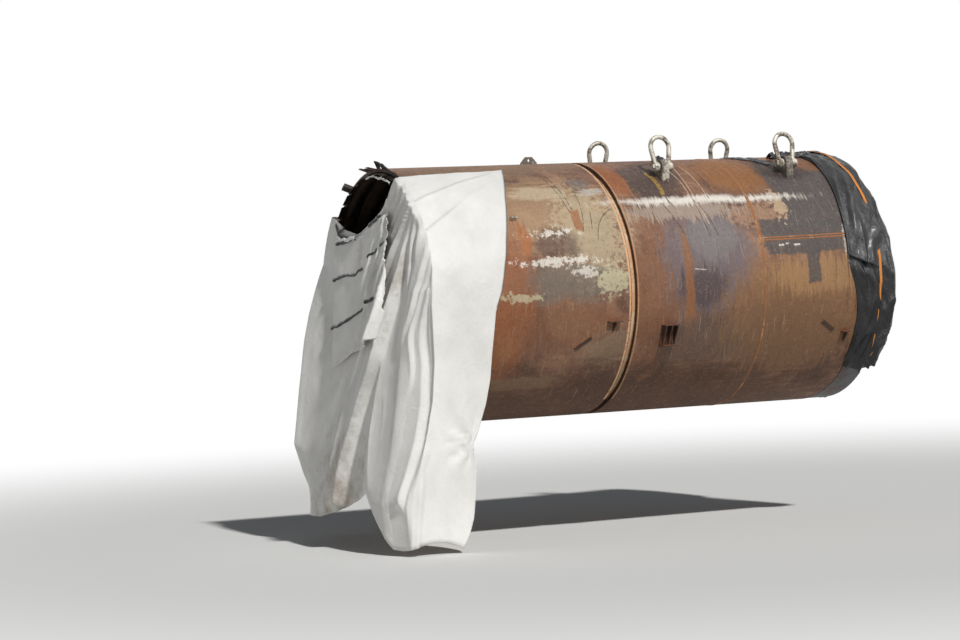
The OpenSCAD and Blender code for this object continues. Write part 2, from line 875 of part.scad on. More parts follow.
module front_cover() {
    color("black") on_axis()
        intersection() {
            difference() {
                drum(cover_back_x, cover_end_x, cover_out);
                drum(cover_back_x - 1, front_x, cover_in);
                drum(front_x - 1, cover_end_x - sheet_t, head_clear);
                intersection() {
                    drum(front_x, cover_end_x + 1, head_clear);
                    translate([front_x, -2 * shield_r, flap_z - 4 * shield_r])
                        cube([shield_r, 4 * shield_r, 4 * shield_r]);
                }
            }
            wedge(cover_back_x - 1, cover_end_x + 1, -cover_phi, cover_phi);
        }
}

module cover_strap() {
    color("darkorange") on_axis()
        sector(strap_x, strap_x + strap_w, cover_out + 6, cover_out + seat, -cover_phi, cover_phi);
}

front_shield();
bulkhead();
screw_port();
hatch_door();
main_drive();
drive_motors();
centre_shield();
ball_seat();
jack_ring();
thrust_ring();
thrust_barrels();
rams_top();
rams_near();
rams_bottom();
rams_far();
erector_rollers();
erector_ring();
erector_head();
ball_sleeve();
tail_shield();
tail_seal_ring();
tail_brushes();
tail_end_plates();
tail_padeyes();
tail_brackets();
centre_brackets();
front_brackets();
lug_front_near();
lug_front_far();
lug_rear_near();
lug_rear_far();
shackle_front_near();
shackle_front_far();
shackle_rear_near();
shackle_rear_far();
cutterhead();
disc_cutters();
gauge_cutters();
scrapers();
head_shaft();
tail_cover_near();
tail_cover_end();
tail_cover_far();
front_cover();
cover_strap();
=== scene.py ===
"""Finishes a shielded tunnel boring machine: weathered skins, machinery, tail and front sheeting."""

import logging
import math
from dataclasses import dataclass, replace
from enum import Enum

import bmesh
import bpy
import numpy as np
from mathutils import Matrix, Vector, noise as rough_noise
from mathutils.bvhtree import BVHTree


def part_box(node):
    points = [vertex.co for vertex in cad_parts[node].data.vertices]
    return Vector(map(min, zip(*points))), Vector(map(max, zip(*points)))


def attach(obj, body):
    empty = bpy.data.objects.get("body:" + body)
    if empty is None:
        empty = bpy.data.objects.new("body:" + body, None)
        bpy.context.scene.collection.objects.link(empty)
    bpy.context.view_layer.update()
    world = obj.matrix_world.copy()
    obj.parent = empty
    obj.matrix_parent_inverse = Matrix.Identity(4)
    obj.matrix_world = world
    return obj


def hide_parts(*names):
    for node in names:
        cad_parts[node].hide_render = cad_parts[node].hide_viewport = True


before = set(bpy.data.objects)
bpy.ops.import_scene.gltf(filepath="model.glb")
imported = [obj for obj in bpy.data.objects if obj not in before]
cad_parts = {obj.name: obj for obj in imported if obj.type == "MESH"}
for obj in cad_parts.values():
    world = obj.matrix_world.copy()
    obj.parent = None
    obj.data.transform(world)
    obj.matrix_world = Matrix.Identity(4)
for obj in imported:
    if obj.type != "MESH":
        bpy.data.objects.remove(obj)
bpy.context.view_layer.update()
LATTICE = 128  # cells along each side of the fold noise, after which it repeats
LOG = logging.getLogger("machine")
Socket = bpy.types.NodeSocket
Tree = bpy.types.NodeTree
Object = bpy.types.Object
Material = bpy.types.Material
Point = tuple[float, float, float]
Pair = tuple[float, float]
NOISE_INPUTS = ("Vector", "Scale", "Detail", "Roughness", "Distortion")


def linear(hex_colour: str) -> tuple[float, float, float, float]:
    """Turns an sRGB hex colour into linear RGBA.

    Args:
        hex_colour: six hex digits after a hash sign.

    Returns:
        Linear red, green, blue and a full alpha.
    """
    parts = [int(hex_colour[i : i + 2], 16) / 255 for i in (1, 3, 5)]
    channels = [c / 12.92 if c <= 0.04045 else ((c + 0.055) / 1.055) ** 2.4 for c in parts]
    return (*channels, 1.0)


def add(tree: Tree, kind: str, feeds: dict | None = None, out: int | str = 0, **settings: object) -> Socket:
    """Adds a node with its settings and links.

    Args:
        tree: the node tree that gets the node.
        kind: the node's type name.
        feeds: a number, vector, hex colour or socket for each input, by index or name.
        out: index or name of the output that is handed back.
        settings: the node's own properties.

    Returns:
        The chosen output socket.
    """
    node = tree.nodes.new(kind)
    for key, value in settings.items():
        setattr(node, key, value)
    for key, value in (feeds or {}).items():
        if isinstance(value, Socket):
            tree.links.new(value, node.inputs[key])
        elif isinstance(value, str) and value.startswith("#"):
            node.inputs[key].default_value = linear(value)
        else:
            node.inputs[key].default_value = value
    return node.outputs[out] if len(node.outputs) else None


def ramp(tree: Tree, factor: Socket, stops: list[tuple[float, str]]) -> Socket:
    """Turns a factor into colour along a list of stops.

    Args:
        tree: the node tree.
        factor: the value that picks the colour.
        stops: position and hex colour of each stop, lowest first.

    Returns:
        The colour socket.
    """
    colour = add(tree, "ShaderNodeValToRGB", {0: factor})
    band = colour.node.color_ramp
    while len(band.elements) < len(stops):
        band.elements.new(0.5)
    for element, (place, hex_colour) in zip(band.elements, stops):
        element.position = place
        element.color = linear(hex_colour)
    return colour


def maths(tree: Tree, operation: str, *values: float | Socket, **settings: object) -> Socket:
    """Adds a Math node with its values in order."""
    return add(tree, "ShaderNodeMath", dict(enumerate(values)), operation=operation, **settings)


def vectors(tree: Tree, operation: str, *values: Point | Socket, out: int | str = 0) -> Socket:
    """Adds a Vector Math node with its values in order."""
    return add(tree, "ShaderNodeVectorMath", dict(enumerate(values)), out, operation=operation)


def remap(tree: Tree, value: Socket, *ends: float, **settings: object) -> Socket:
    """Adds a Map Range node: the value, what it runs from and to, and what that becomes."""
    return add(tree, "ShaderNodeMapRange", dict(enumerate((value, *ends))), **settings)


def blend(tree: Tree, factor: Socket, below: Socket | str, above: Socket | str) -> Socket:
    """Adds a colour Mix node that lays one colour over another."""
    return add(tree, "ShaderNodeMix", {0: factor, 6: below, 7: above}, 2, data_type="RGBA")


def noisy(tree: Tree, *values: float | Socket, out: int | str = 0) -> Socket:
    """Adds a Noise node: its vector, scale, detail, roughness and distortion, as far as given."""
    return add(tree, "ShaderNodeTexNoise", dict(zip(NOISE_INPUTS, values)), out)


def split(tree: Tree, vector: Socket) -> bpy.types.NodeOutputs:
    """Adds a Separate XYZ node and hands back its three outputs."""
    return add(tree, "ShaderNodeSeparateXYZ", {0: vector}).node.outputs


def surface(tree: Tree, feeds: dict) -> None:
    """Ends a material in a Principled surface."""
    add(tree, "ShaderNodeOutputMaterial", {0: add(tree, "ShaderNodeBsdfPrincipled", feeds)})


def seen_directly(tree: Tree) -> Socket:
    """Gives 1 for camera, glossy and transmission rays, and 0 for the light that falls on things."""
    path = add(tree, "ShaderNodeLightPath").node.outputs
    seen = maths(tree, "MAXIMUM", path["Is Camera Ray"], path["Is Glossy Ray"])
    return maths(tree, "MAXIMUM", seen, path["Is Transmission Ray"])


def put(name: str, data: bpy.types.ID) -> Object:
    """Makes an object at the origin and links it to the scene."""
    piece = bpy.data.objects.new(name, data)
    bpy.context.scene.collection.objects.link(piece)
    return piece


def new_tree(name: str) -> tuple[Material, Tree]:
    """Makes an empty material and hands back it and its tree."""
    material = bpy.data.materials.new(name)
    material.use_nodes = True
    material.node_tree.nodes.clear()
    return material, material.node_tree


@dataclass(frozen=True)
class Anatomy:
    """Main sizes of the machine in metres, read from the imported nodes."""

    radius: float
    axis_z: float
    rim_x: float
    front_x: float

    @classmethod
    def read(cls) -> "Anatomy":
        """Reads the shield's boxes."""
        front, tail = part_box("front_shield"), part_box("tail_shield")
        radius = (front[1].z - front[0].z) / 2
        return cls(
            radius=radius,
            axis_z=(front[1].z + front[0].z) / 2,
            rim_x=tail[0].x,
            front_x=front[1].x,
        )


BODY = Anatomy.read()


class Grain(Enum):
    """How the broken edge of a stain runs."""

    CLOUD = "cloud"
    FLECK = "fleck"
    ALONG = "along"
    AROUND = "around"


class Outline(Enum):
    """Shape of a stain before it is broken up."""

    BLOT = "blot"
    PANEL = "panel"


@dataclass(frozen=True)
class Stain:
    """One stain on the rolled plate, placed along the machine and by its angle from the crown."""

    colour: str
    x: Pair
    phi: Pair
    amount: float = 0.8
    ragged: float = 0.8
    soft: float = 0.35
    grain: Grain = Grain.CLOUD
    outline: Outline = Outline.BLOT


DARK_MILL = "#4B4442"
LIME = "#DDD4C8"
ORANGE_RUST = "#8F5329"
PURPLE_GREY = "#6A5F62"
RUB_DARK = "#33251F"
RUB_PALE = "#C9AE90"
WELD_RUST = "#9A6335"

STAINS: tuple[Stain, ...] = (
    # tail: lighter on the upper side, lime splashes, grey band, orange edge, and darker underneath along the
    # whole machine
    Stain("#A98A68", (-5.9, -2.5), (30, 70), 0.6, 1.5, 0.3, Grain.ALONG),
    Stain("#7C6249", (-5.9, -2.5), (0, 27), 0.6, 1.2, 0.3, Grain.ALONG),
    Stain("#B5A384", (-3.6, -2.42), (40, 88), 0.75, 1.7, 0.25, Grain.FLECK),
    Stain("#C4B497", (-4.2, -3.2), (36, 46), 0.6, 1.6, 0.3, Grain.ALONG),
    Stain("#6E665C", (-4.8, -2.6), (78, 95), 0.75, 1.2, 0.3, Grain.ALONG),
    Stain("#5A4338", (-4.05, -3.3), (60, 76), 0.75, 0.9, 0.3, Grain.CLOUD),
    Stain(ORANGE_RUST, (-5.4, -4.15), (50, 132), 0.7, 1.1, 0.3, Grain.AROUND),
    Stain("#A4602F", (-4.3, -4.1), (58, 74), 0.7, 1.2, 0.25, Grain.AROUND),
    Stain("#6A625E", (-3.05, -2.6), (31, 38), 0.7, 1.2, 0.3, Grain.CLOUD),
    Stain("#B9AFA4", (-3.0, -2.43), (38, 43), 0.75, 1.5, 0.25, Grain.ALONG),
    Stain("#96603A", (-3.26, -3.1), (52, 63), 0.85, 0.5, 0.15, Grain.FLECK, Outline.PANEL),
    Stain("#7A4F33", (-4.4, -2.45), (96, 116), 0.6, 1.4, 0.3, Grain.FLECK),
    Stain(LIME, (-4.3, -3.1), (75.5, 78.5), 0.85, 3.6, 0.35, Grain.FLECK),
    Stain(LIME, (-3.4, -2.95), (80.0, 83.5), 0.75, 3.4, 0.35, Grain.FLECK),
    Stain("#BFB493", (-3.0, -2.43), (80, 92), 0.8, 2.4, 0.2, Grain.FLECK),
    Stain("#BFB493", (-4.8, -4.1), (90, 93), 0.7, 3.4, 0.25, Grain.FLECK),
    Stain(LIME, (-4.0, -3.4), (61.5, 65), 0.8, 4.2, 0.25, Grain.FLECK),
    Stain("#86715A", (-3.2, -2.3), (110, 127), 0.6, 1.6, 0.3, Grain.FLECK),
    Stain("#553722", (-6.2, 2.2), (128, 200), 0.85, 0.9, 0.3, Grain.ALONG),
    Stain("#7E6248", (-4.9, -3.55), (130, 139), 0.9, 2.0, 0.1, Grain.ALONG),
    # centre: rubbed purple-grey plate, orange at both ends and round the lugs
    Stain("#443631", (-2.05, -0.85), (18, 45), 0.85, 1.0, 0.2, Grain.ALONG),
    Stain(ORANGE_RUST, (-2.35, -1.95), (16, 45), 0.8, 0.9, 0.25, Grain.CLOUD),
    Stain("#8A5A2E", (-0.6, 0.75), (14, 43), 0.85, 1.0, 0.25, Grain.CLOUD),
    Stain("#7B5238", (-2.35, -1.55), (60, 130), 0.8, 1.0, 0.25, Grain.CLOUD),
    Stain(PURPLE_GREY, (-1.75, 0.0), (52, 104), 0.9, 1.1, 0.25, Grain.AROUND),
    Stain("#78706F", (-1.25, -0.3), (58, 80), 0.8, 1.1, 0.3, Grain.AROUND),
    Stain("#47393A", (-1.5, -0.6), (82, 100), 0.8, 1.5, 0.25, Grain.AROUND),
    Stain("#8C5A33", (-1.4, -1.22), (64, 120), 0.8, 1.0, 0.3, Grain.AROUND),
    Stain("#5E4C42", (-1.9, 0.4), (104, 128), 0.7, 1.4, 0.3, Grain.AROUND),
    # front: dark mill scale left by the rolling, with a square lower edge, and orange rust below it
    Stain("#8A6340", (-0.55, 2.0), (77, 133), 0.85, 1.3, 0.25, Grain.AROUND),
    Stain("#6E5139", (-0.6, 1.9), (96, 130), 0.7, 1.6, 0.3, Grain.FLECK),
    Stain("#A07A52", (0.3, 1.9), (80, 96), 0.7, 1.8, 0.25, Grain.AROUND),
    Stain("#9C7A60", (-0.35, 0.75), (52, 64), 0.8, 2.2, 0.25, Grain.FLECK),
    Stain(DARK_MILL, (0.72, 2.05), (30, 66), 0.96, 0.3, 0.07, Grain.CLOUD, Outline.PANEL),
    Stain(DARK_MILL, (0.17, 1.86), (61, 77.5), 0.93, 0.3, 0.07, Grain.CLOUD, Outline.PANEL),
    Stain(DARK_MILL, (0.98, 1.2), (74, 92), 0.9, 0.5, 0.12, Grain.FLECK, Outline.PANEL),
    # dark patch round and below the front lug: partly stain and partly painted shadow of the lug
    Stain("#2E2523", (0.62, 1.75), (16, 36), 0.9, 0.9, 0.25, Grain.CLOUD),
    Stain("#7C5133", (1.55, 1.98), (18, 31), 0.75, 1.0, 0.25, Grain.CLOUD),
    Stain("#B79C7E", (0.55, 0.8), (46, 61), 0.85, 2.6, 0.15, Grain.FLECK),
    Stain(LIME, (1.74, 1.8), (66, 82), 0.6, 3.6, 0.3, Grain.FLECK),
    # the long lime streak over centre and front, and what ran down from it
    Stain("#A39384", (-2.25, -0.2), (50, 60), 0.8, 2.4, 0.2, Grain.AROUND),
    Stain(LIME, (-2.32, 0.8), (46.0, 51.0), 0.85, 1.7, 0.5, Grain.AROUND),
    Stain("#E4DDD2", (-2.1, 0.7), (47.2, 49.8), 0.75, 1.6, 0.4, Grain.FLECK),
)


@dataclass(frozen=True)
class Rub:
    """A thin line that a scrape or a weld left on the plate, by place along the axis and angle."""

    colour: str
    start: Pair
    end: Pair
    bow: float = 0.0
    half: float = 0.006
    amount: float = 0.5


RUBS: tuple[Rub, ...] = (
    Rub(RUB_DARK, (-3.39, 27.0), (-3.26, 53.0)),
    Rub(RUB_DARK, (-3.33, 27.0), (-3.2, 52.0), 0.02),
    Rub(RUB_DARK, (-3.07, 29.0), (-3.13, 63.5), 0.09),
    Rub(RUB_DARK, (-2.89, 53.5), (-2.95, 62.0)),
    Rub(RUB_DARK, (-2.45, 51.7), (-2.89, 67.5), -0.1),
    # scrapes over the centre's crown
    Rub(RUB_DARK, (-1.51, 26.0), (-1.35, 51.0), 0.0, 0.012),
    Rub(RUB_DARK, (-1.15, 24.0), (-1.05, 47.0)),
    Rub(RUB_PALE, (-0.98, 24.0), (-0.92, 47.0), 0.02, 0.006, 0.6),
    Rub(RUB_DARK, (-0.83, 20.0), (-0.81, 68.5), -0.08),
    Rub(RUB_PALE, (-0.79, 20.0), (-0.77, 62.0), -0.07, 0.006, 0.6),
    Rub(RUB_DARK, (-0.72, 20.0), (-0.58, 48.0)),
    Rub(RUB_PALE, (-0.66, 21.0), (-0.6, 47.0), 0.0, 0.006, 0.6),
    Rub(RUB_DARK, (-0.5, 22.0), (-0.44, 46.0)),
    Rub("#9A7A38", (-1.43, 28.0), (-1.4, 44.0), 0.03, 0.03, 0.7),
    Rub(RUB_DARK, (-1.52, 50.0), (-1.3, 66.0), 0.02),
    Rub(RUB_DARK, (-0.9, 48.0), (-0.66, 68.0), 0.03),
    Rub(RUB_DARK, (-0.17, 46.9), (-0.04, 58.2)),
    Rub("#B58A5C", (0.13, 18.0), (0.13, 48.0), 0.0, 0.008, 0.5),
    # welds: round the seam, and a double one along the front plate with chalk marks below it
    Rub(WELD_RUST, (0.14, 48.0), (0.12, 80.0), 0.0, 0.02, 0.95),
    Rub(WELD_RUST, (0.14, 70.2), (1.95, 69.5), 0.0, 0.009, 0.95),
    Rub(WELD_RUST, (0.14, 71.3), (1.95, 70.7), 0.0, 0.009, 0.95),
    Rub("#CFC6BC", (0.47, 73.9), (0.54, 73.8), 0.0, 0.012, 0.9),
    Rub("#CFC6BC", (0.6, 73.3), (0.64, 73.2), 0.0, 0.01, 0.9),
    Rub("#CFC6BC", (0.76, 74.0), (0.85, 73.9), 0.0, 0.012, 0.9),
    Rub("#CFC6BC", (-1.2, 83.0), (-1.0, 83.6), 0.0, 0.006, 0.6),
    # painted highlights along the edges either side of the articulation gap
    Rub("#D3A780", (-2.43, 10.0), (-2.43, 150.0), 0.0, 0.012, 0.85),
    Rub("#B98A62", (-2.28, 10.0), (-2.28, 150.0), 0.0, 0.008, 0.7),
)


@dataclass(frozen=True)
class RolledPlate:
    """Rolled mild steel plate left outdoors: mill scale, brown and orange rust, lime splashes, scrapes."""

    name: str = "rolled_mild_steel_weathered"
    stains: tuple[Stain, ...] = STAINS
    rubs: tuple[Rub, ...] = RUBS
    scrape_pitch: float = 0.03
    skin: float = 0.02
    grit: float = 0.012

    def unrolled(self, tree: Tree) -> tuple[Socket, Socket]:
        """Gives the surface's flat coordinates and the plain ones.

        Args:
            tree: the material's tree.

        Returns:
            A vector of distance along the axis and round from the crown, and the Object coordinates.
        """
        place = add(tree, "ShaderNodeTexCoord", out="Object")
        parts = split(tree, place)
        side = maths(tree, "ABSOLUTE", parts[1])
        height = maths(tree, "ADD", parts[2], -BODY.axis_z)
        angle = maths(tree, "ARCTAN2", side, height)
        arc = maths(tree, "MULTIPLY", angle, BODY.radius)
        return add(tree, "ShaderNodeCombineXYZ", {0: parts[0], 1: arc}), place

    def grains(self, tree: Tree, flat: Socket, place: Socket) -> dict[Grain, Socket]:
        """Makes the shared noises that break up the stains.

        Args:
            tree: the material's tree.
            flat: the unrolled coordinates.
            place: the Object coordinates.

        Returns:
            A noise for each grain, about 0.5 in the middle.
        """
        stretch = {Grain.ALONG: (1.3, 9.0, 0.0), Grain.AROUND: (17.0, 1.5, 0.0)}
        made = {}
        for grain, scale in ((Grain.CLOUD, 3.2), (Grain.FLECK, 13.0), (Grain.ALONG, 1.0),
                             (Grain.AROUND, 1.0)):
            at = place
            if grain in stretch:
                at = vectors(tree, "MULTIPLY", flat, stretch[grain])
            made[grain] = noisy(tree, at, scale, 9.0, 0.72)
        return made

    def stained(self, tree: Tree, base: Socket, flat: Socket, grains: dict[Grain, Socket]) -> Socket:
        """Lays the stains over the base colour, one after the other.

        Args:
            tree: the material's tree.
            base: the rust's own colour.
            flat: the unrolled coordinates.
            grains: the noises that break the edges.

        Returns:
            The stained colour.
        """
        colour = base
        for stain in self.stains:
            arc = [BODY.radius * math.radians(a) for a in stain.phi]
            half = ((stain.x[1] - stain.x[0]) / 2, (arc[1] - arc[0]) / 2)
            middle = ((stain.x[1] + stain.x[0]) / 2, (arc[1] + arc[0]) / 2)
            scale = (1 / half[0], 1 / half[1], 0.0)
            shift = (-middle[0] / half[0], -middle[1] / half[1], 0.0)
            offset = vectors(tree, "MULTIPLY_ADD", flat, scale, shift)
            if stain.outline is Outline.BLOT:
                reach = vectors(tree, "LENGTH", offset, out="Value")
            else:
                sides = vectors(tree, "ABSOLUTE", offset)
                parts = split(tree, sides)
                reach = maths(tree, "MAXIMUM", parts[0], parts[1])
            broken = maths(tree, "MULTIPLY_ADD", grains[stain.grain], 2 * stain.ragged, reach)
            edge = 1 + stain.ragged
            mask = remap(tree, broken, edge + stain.soft, edge - stain.soft, 0.0, stain.amount,
                         interpolation_type="SMOOTHSTEP")
            colour = blend(tree, mask, colour, stain.colour)
        return colour

    def rubbed(self, tree: Tree, base: Socket, flat: Socket, wear: Socket) -> Socket:
        """Draws the thin lines over the colour.

        Args:
            tree: the material's tree.
            base: the colour below.
            flat: the unrolled coordinates.
            wear: a noise that breaks the lines up.

        Returns:
            The colour with its lines.
        """
        colour = base
        for rub in self.rubs:
            start = Vector((rub.start[0], BODY.radius * math.radians(rub.start[1]), 0))
            end = Vector((rub.end[0], BODY.radius * math.radians(rub.end[1]), 0))
            run = end - start
            aside = Vector((run.y, -run.x, 0)).normalized() * 4 * rub.bow
            offset = vectors(tree, "SUBTRACT", flat, start)
            share = vectors(tree, "DOT_PRODUCT", offset, run / run.length_squared, out="Value")
            share = maths(tree, "ADD", share, 0.0, use_clamp=True)
            along = vectors(tree, "MULTIPLY_ADD", run, share, start)
            rest = maths(tree, "MULTIPLY_ADD", share, -1.0, 1.0)
            bent = maths(tree, "MULTIPLY", share, rest)
            along = vectors(tree, "MULTIPLY_ADD", aside, bent, along)
            away = vectors(tree, "DISTANCE", flat, along, out="Value")
            mask = remap(tree, away, rub.half, 1.7 * rub.half, 1.6 * rub.amount, 0.0)
            mask = maths(tree, "MULTIPLY", mask, wear, use_clamp=True)
            colour = blend(tree, mask, colour, rub.colour)
        return colour

    def build(self) -> Material:
        """Makes the material."""
        material, tree = new_tree(self.name)
        flat, place = self.unrolled(tree)
        grains = self.grains(tree, flat, place)
        drift = noisy(tree, place, 1.1, 11.0, 0.74, 0.4)
        tones = [(0.32, "#3E2A20"), (0.43, "#5E4232"), (0.51, "#785542"), (0.6, "#8E6A50"), (0.72, "#A98767")]
        rust = ramp(tree, drift, tones)
        speckle = noisy(tree, place, 24.0, 8.0, 0.78)
        warp = noisy(tree, place, 1.7, 7.0, out="Color")
        centred = vectors(tree, "SUBTRACT", warp, (0.5, 0.5, 0.5))
        bent = vectors(tree, "MULTIPLY_ADD", centred, (0.24, 0.24, 0.0), flat)
        colour = self.stained(tree, rust, bent, grains)
        # fine scrapes round the shell, drawn twice as coarse as they are so that they show from a step away
        combed = vectors(tree, "MULTIPLY", bent, (1 / self.scrape_pitch, 1.6, 0.0))
        lines = noisy(tree, combed, 1.0, 5.0, 0.6)
        for low, high, amount, hex_colour in ((0.6, 0.7, 0.6, "#C4AE98"), (0.41, 0.3, 0.8, "#33261F")):
            mask = remap(tree, lines, low, high, 0.0, amount)
            mask = maths(tree, "MULTIPLY", mask, grains[Grain.CLOUD])
            colour = blend(tree, mask, colour, hex_colour)
        # rust grains darker and lighter than the plate round them
        for low, high, amount, hex_colour in ((0.44, 0.32, 0.7, "#2C1E17"), (0.57, 0.7, 0.55, "#CBA680")):
            mask = remap(tree, speckle, low, high, 0.0, amount)
            colour = blend(tree, mask, colour, hex_colour)
        wear = remap(tree, grains[Grain.FLECK], 0.36, 0.52)
        colour = self.rubbed(tree, colour, flat, wear)
        # painted shade: the inside of the shell, which was also never bleached or rubbed, is darkened nearly
        # black so that it reads dark from outside
        parts = split(tree, place)
        height = maths(tree, "ADD", parts[2], -BODY.axis_z)
        spoke = add(tree, "ShaderNodeCombineXYZ", {0: parts[1], 1: height})
        reach = vectors(tree, "LENGTH", spoke, out="Value")
        inside_painted_shade = remap(tree, reach, BODY.radius - self.skin, BODY.radius - self.skin / 2, 0.85, 0.0)
        colour = blend(tree, inside_painted_shade, colour, "#1F1814")
        rough = remap(tree, grains[Grain.FLECK], 0.3, 0.7, 0.5, 0.85)
        relief = maths(tree, "MULTIPLY_ADD", speckle, 0.6, drift)
        bump = add(tree, "ShaderNodeBump", {"Height": relief, "Strength": 0.4, "Distance": self.grit})
        feeds = {"Base Color": colour, "Roughness": rough, "Normal": bump, "Metallic": 0.08}
        surface(tree, feeds)
        return material


@dataclass(frozen=True)
class Steelwork:
    """A painted, coated or bare steel part: two tones in clouds, dust or wear, and a fine relief."""

    name: str
    colour: str
    second: str
    wear: str
    worn: float = 0.25
    roughness: float = 0.6
    metallic: float = 0.0
    cloud: float = 2.5
    grit_mm: float = 2.0
    relief: float = 0.25
    # colour laid over sides and undersides as painted shade, if any
    painted_underside_shade: str = ""

    def build(self) -> Material:
        """Makes the material."""
        material, tree = new_tree(self.name)
        place = add(tree, "ShaderNodeTexCoord", out="Object")
        clouds = noisy(tree, place, self.cloud, 7.0, 0.62)
        grit = noisy(tree, place, 60 / self.grit_mm, 4.0, 0.7)
        tone = remap(tree, clouds, 0.38, 0.64, interpolation_type="SMOOTHSTEP")
        colour = blend(tree, tone, self.colour, self.second)
        chips = maths(tree, "MULTIPLY_ADD", grit, 0.5, clouds)
        edge = 0.92 - 0.3 * self.worn
        mask = remap(tree, chips, edge - 0.03, edge + 0.06, 0.0, 0.9)
        colour = blend(tree, mask, colour, self.wear)
        if self.painted_underside_shade:
            # painted shade: upper faces keep the orange rust while the sides and undersides are darkened
            # nearly black
            facing = add(tree, "ShaderNodeNewGeometry", out="Normal")
            up = add(tree, "ShaderNodeSeparateXYZ", {0: facing}, 2)
            dark = remap(tree, up, 0.45, 0.0, 0.0, 0.92)
            colour = blend(tree, dark, colour, self.painted_underside_shade)
        rough = remap(tree, grit, 0.3, 0.7, self.roughness - 0.1, self.roughness + 0.12)
        bump = add(tree, "ShaderNodeBump", {"Height": grit, "Strength": self.relief, "Distance": 0.004})
        feeds = {"Base Color": colour, "Roughness": rough, "Normal": bump, "Metallic": self.metallic}
        surface(tree, feeds)
        return material

    def made(self) -> Material:
        """Gives the material, making it once."""
        return bpy.data.materials.get(self.name) or self.build()


@dataclass(frozen=True)
class Sheeting:
    """Reinforced poly sheeting: coated tape weave, soft creases, dirt, handling marks, and dark seam lines
    that also carry painted shade along creases.
    """

    name: str
    colour: str
    shaded: str
    dirt: str
    roughness: float
    dirt_low: float
    seam: str = "#3A3A3C"
    tape_mm: float = 8.0
    crease: float = 0.35
    coat: float = 0.0
    dirt_scale: float = 1.1

    def build(self) -> Material:
        """Makes the material."""
        material, tree = new_tree(self.name)
        place = add(tree, "ShaderNodeTexCoord", out="Object")
        flat = add(tree, "ShaderNodeTexCoord", out="UV")
        clouds = noisy(tree, place, self.dirt_scale, 8.0, 0.62)
        tone = remap(tree, clouds, 0.35, 0.7, 0.0, 1.0)
        colour = blend(tree, tone, self.colour, self.shaded)
        soil = noisy(tree, place, 2.6, 9.0, 0.72)
        low = add(tree, "ShaderNodeAttribute", out="Fac", attribute_name="soil")
        dirty = maths(tree, "MULTIPLY_ADD", low, 0.55, soil)
        mask = remap(tree, dirty, self.dirt_low, self.dirt_low + 0.3, 0.0, 0.75)
        colour = blend(tree, mask, colour, self.dirt)
        # dark lines from the mesh: hems, and painted shade along creases
        seam = add(tree, "ShaderNodeAttribute", out="Fac", attribute_name="seam")
        colour = blend(tree, seam, colour, self.seam)
        # the tapes are about 3 mm wide in life, and drawn coarser here so that they show close up
        woven = vectors(tree, "MULTIPLY", flat, (1000 / self.tape_mm,) * 3)
        weave = add(tree, "ShaderNodeTexChecker", {"Vector": woven, "Scale": 1.0}, "Fac")
        wrinkles = noisy(tree, place, 5.5, 7.0, 0.6, 1.2)
        fold = maths(tree, "SUBTRACT", wrinkles, 0.5)
        fold = maths(tree, "ABSOLUTE", fold)
        relief = maths(tree, "MULTIPLY_ADD", weave, 0.01, fold)
        bump = add(tree, "ShaderNodeBump", {"Height": relief, "Strength": self.crease, "Distance": 0.05})
        feeds = {"Base Color": colour, "Roughness": self.roughness, "Normal": bump}
        feeds |= {"Coat Weight": self.coat, "Coat Roughness": 0.2}
        surface(tree, feeds)
        return material


@dataclass(frozen=True)
class Webbing:
    """Woven polyester strap: ribs across its width and paler, dusty clouds."""

    name: str = "woven_polyester_strap"
    colour: str = "#E58A22"
    dust: str = "#BC7A3E"
    rib_mm: float = 9.0

    def build(self) -> Material:
        """Makes the material."""
        material, tree = new_tree(self.name)
        place = add(tree, "ShaderNodeTexCoord", out="Object")
        flat = add(tree, "ShaderNodeTexCoord", out="UV")
        clouds = noisy(tree, place, 4.0, 6.0)
        colour = blend(tree, clouds, self.colour, self.dust)
        feeds = {"Vector": flat, "Scale": 1000 / self.rib_mm / 20}
        ribs = add(tree, "ShaderNodeTexWave", feeds, "Fac", bands_direction="Y")
        bump = add(tree, "ShaderNodeBump", {"Height": ribs, "Strength": 0.5, "Distance": 0.003})
        feeds = {"Base Color": colour, "Roughness": 0.75, "Normal": bump, "Sheen Weight": 0.2}
        surface(tree, feeds)
        return material


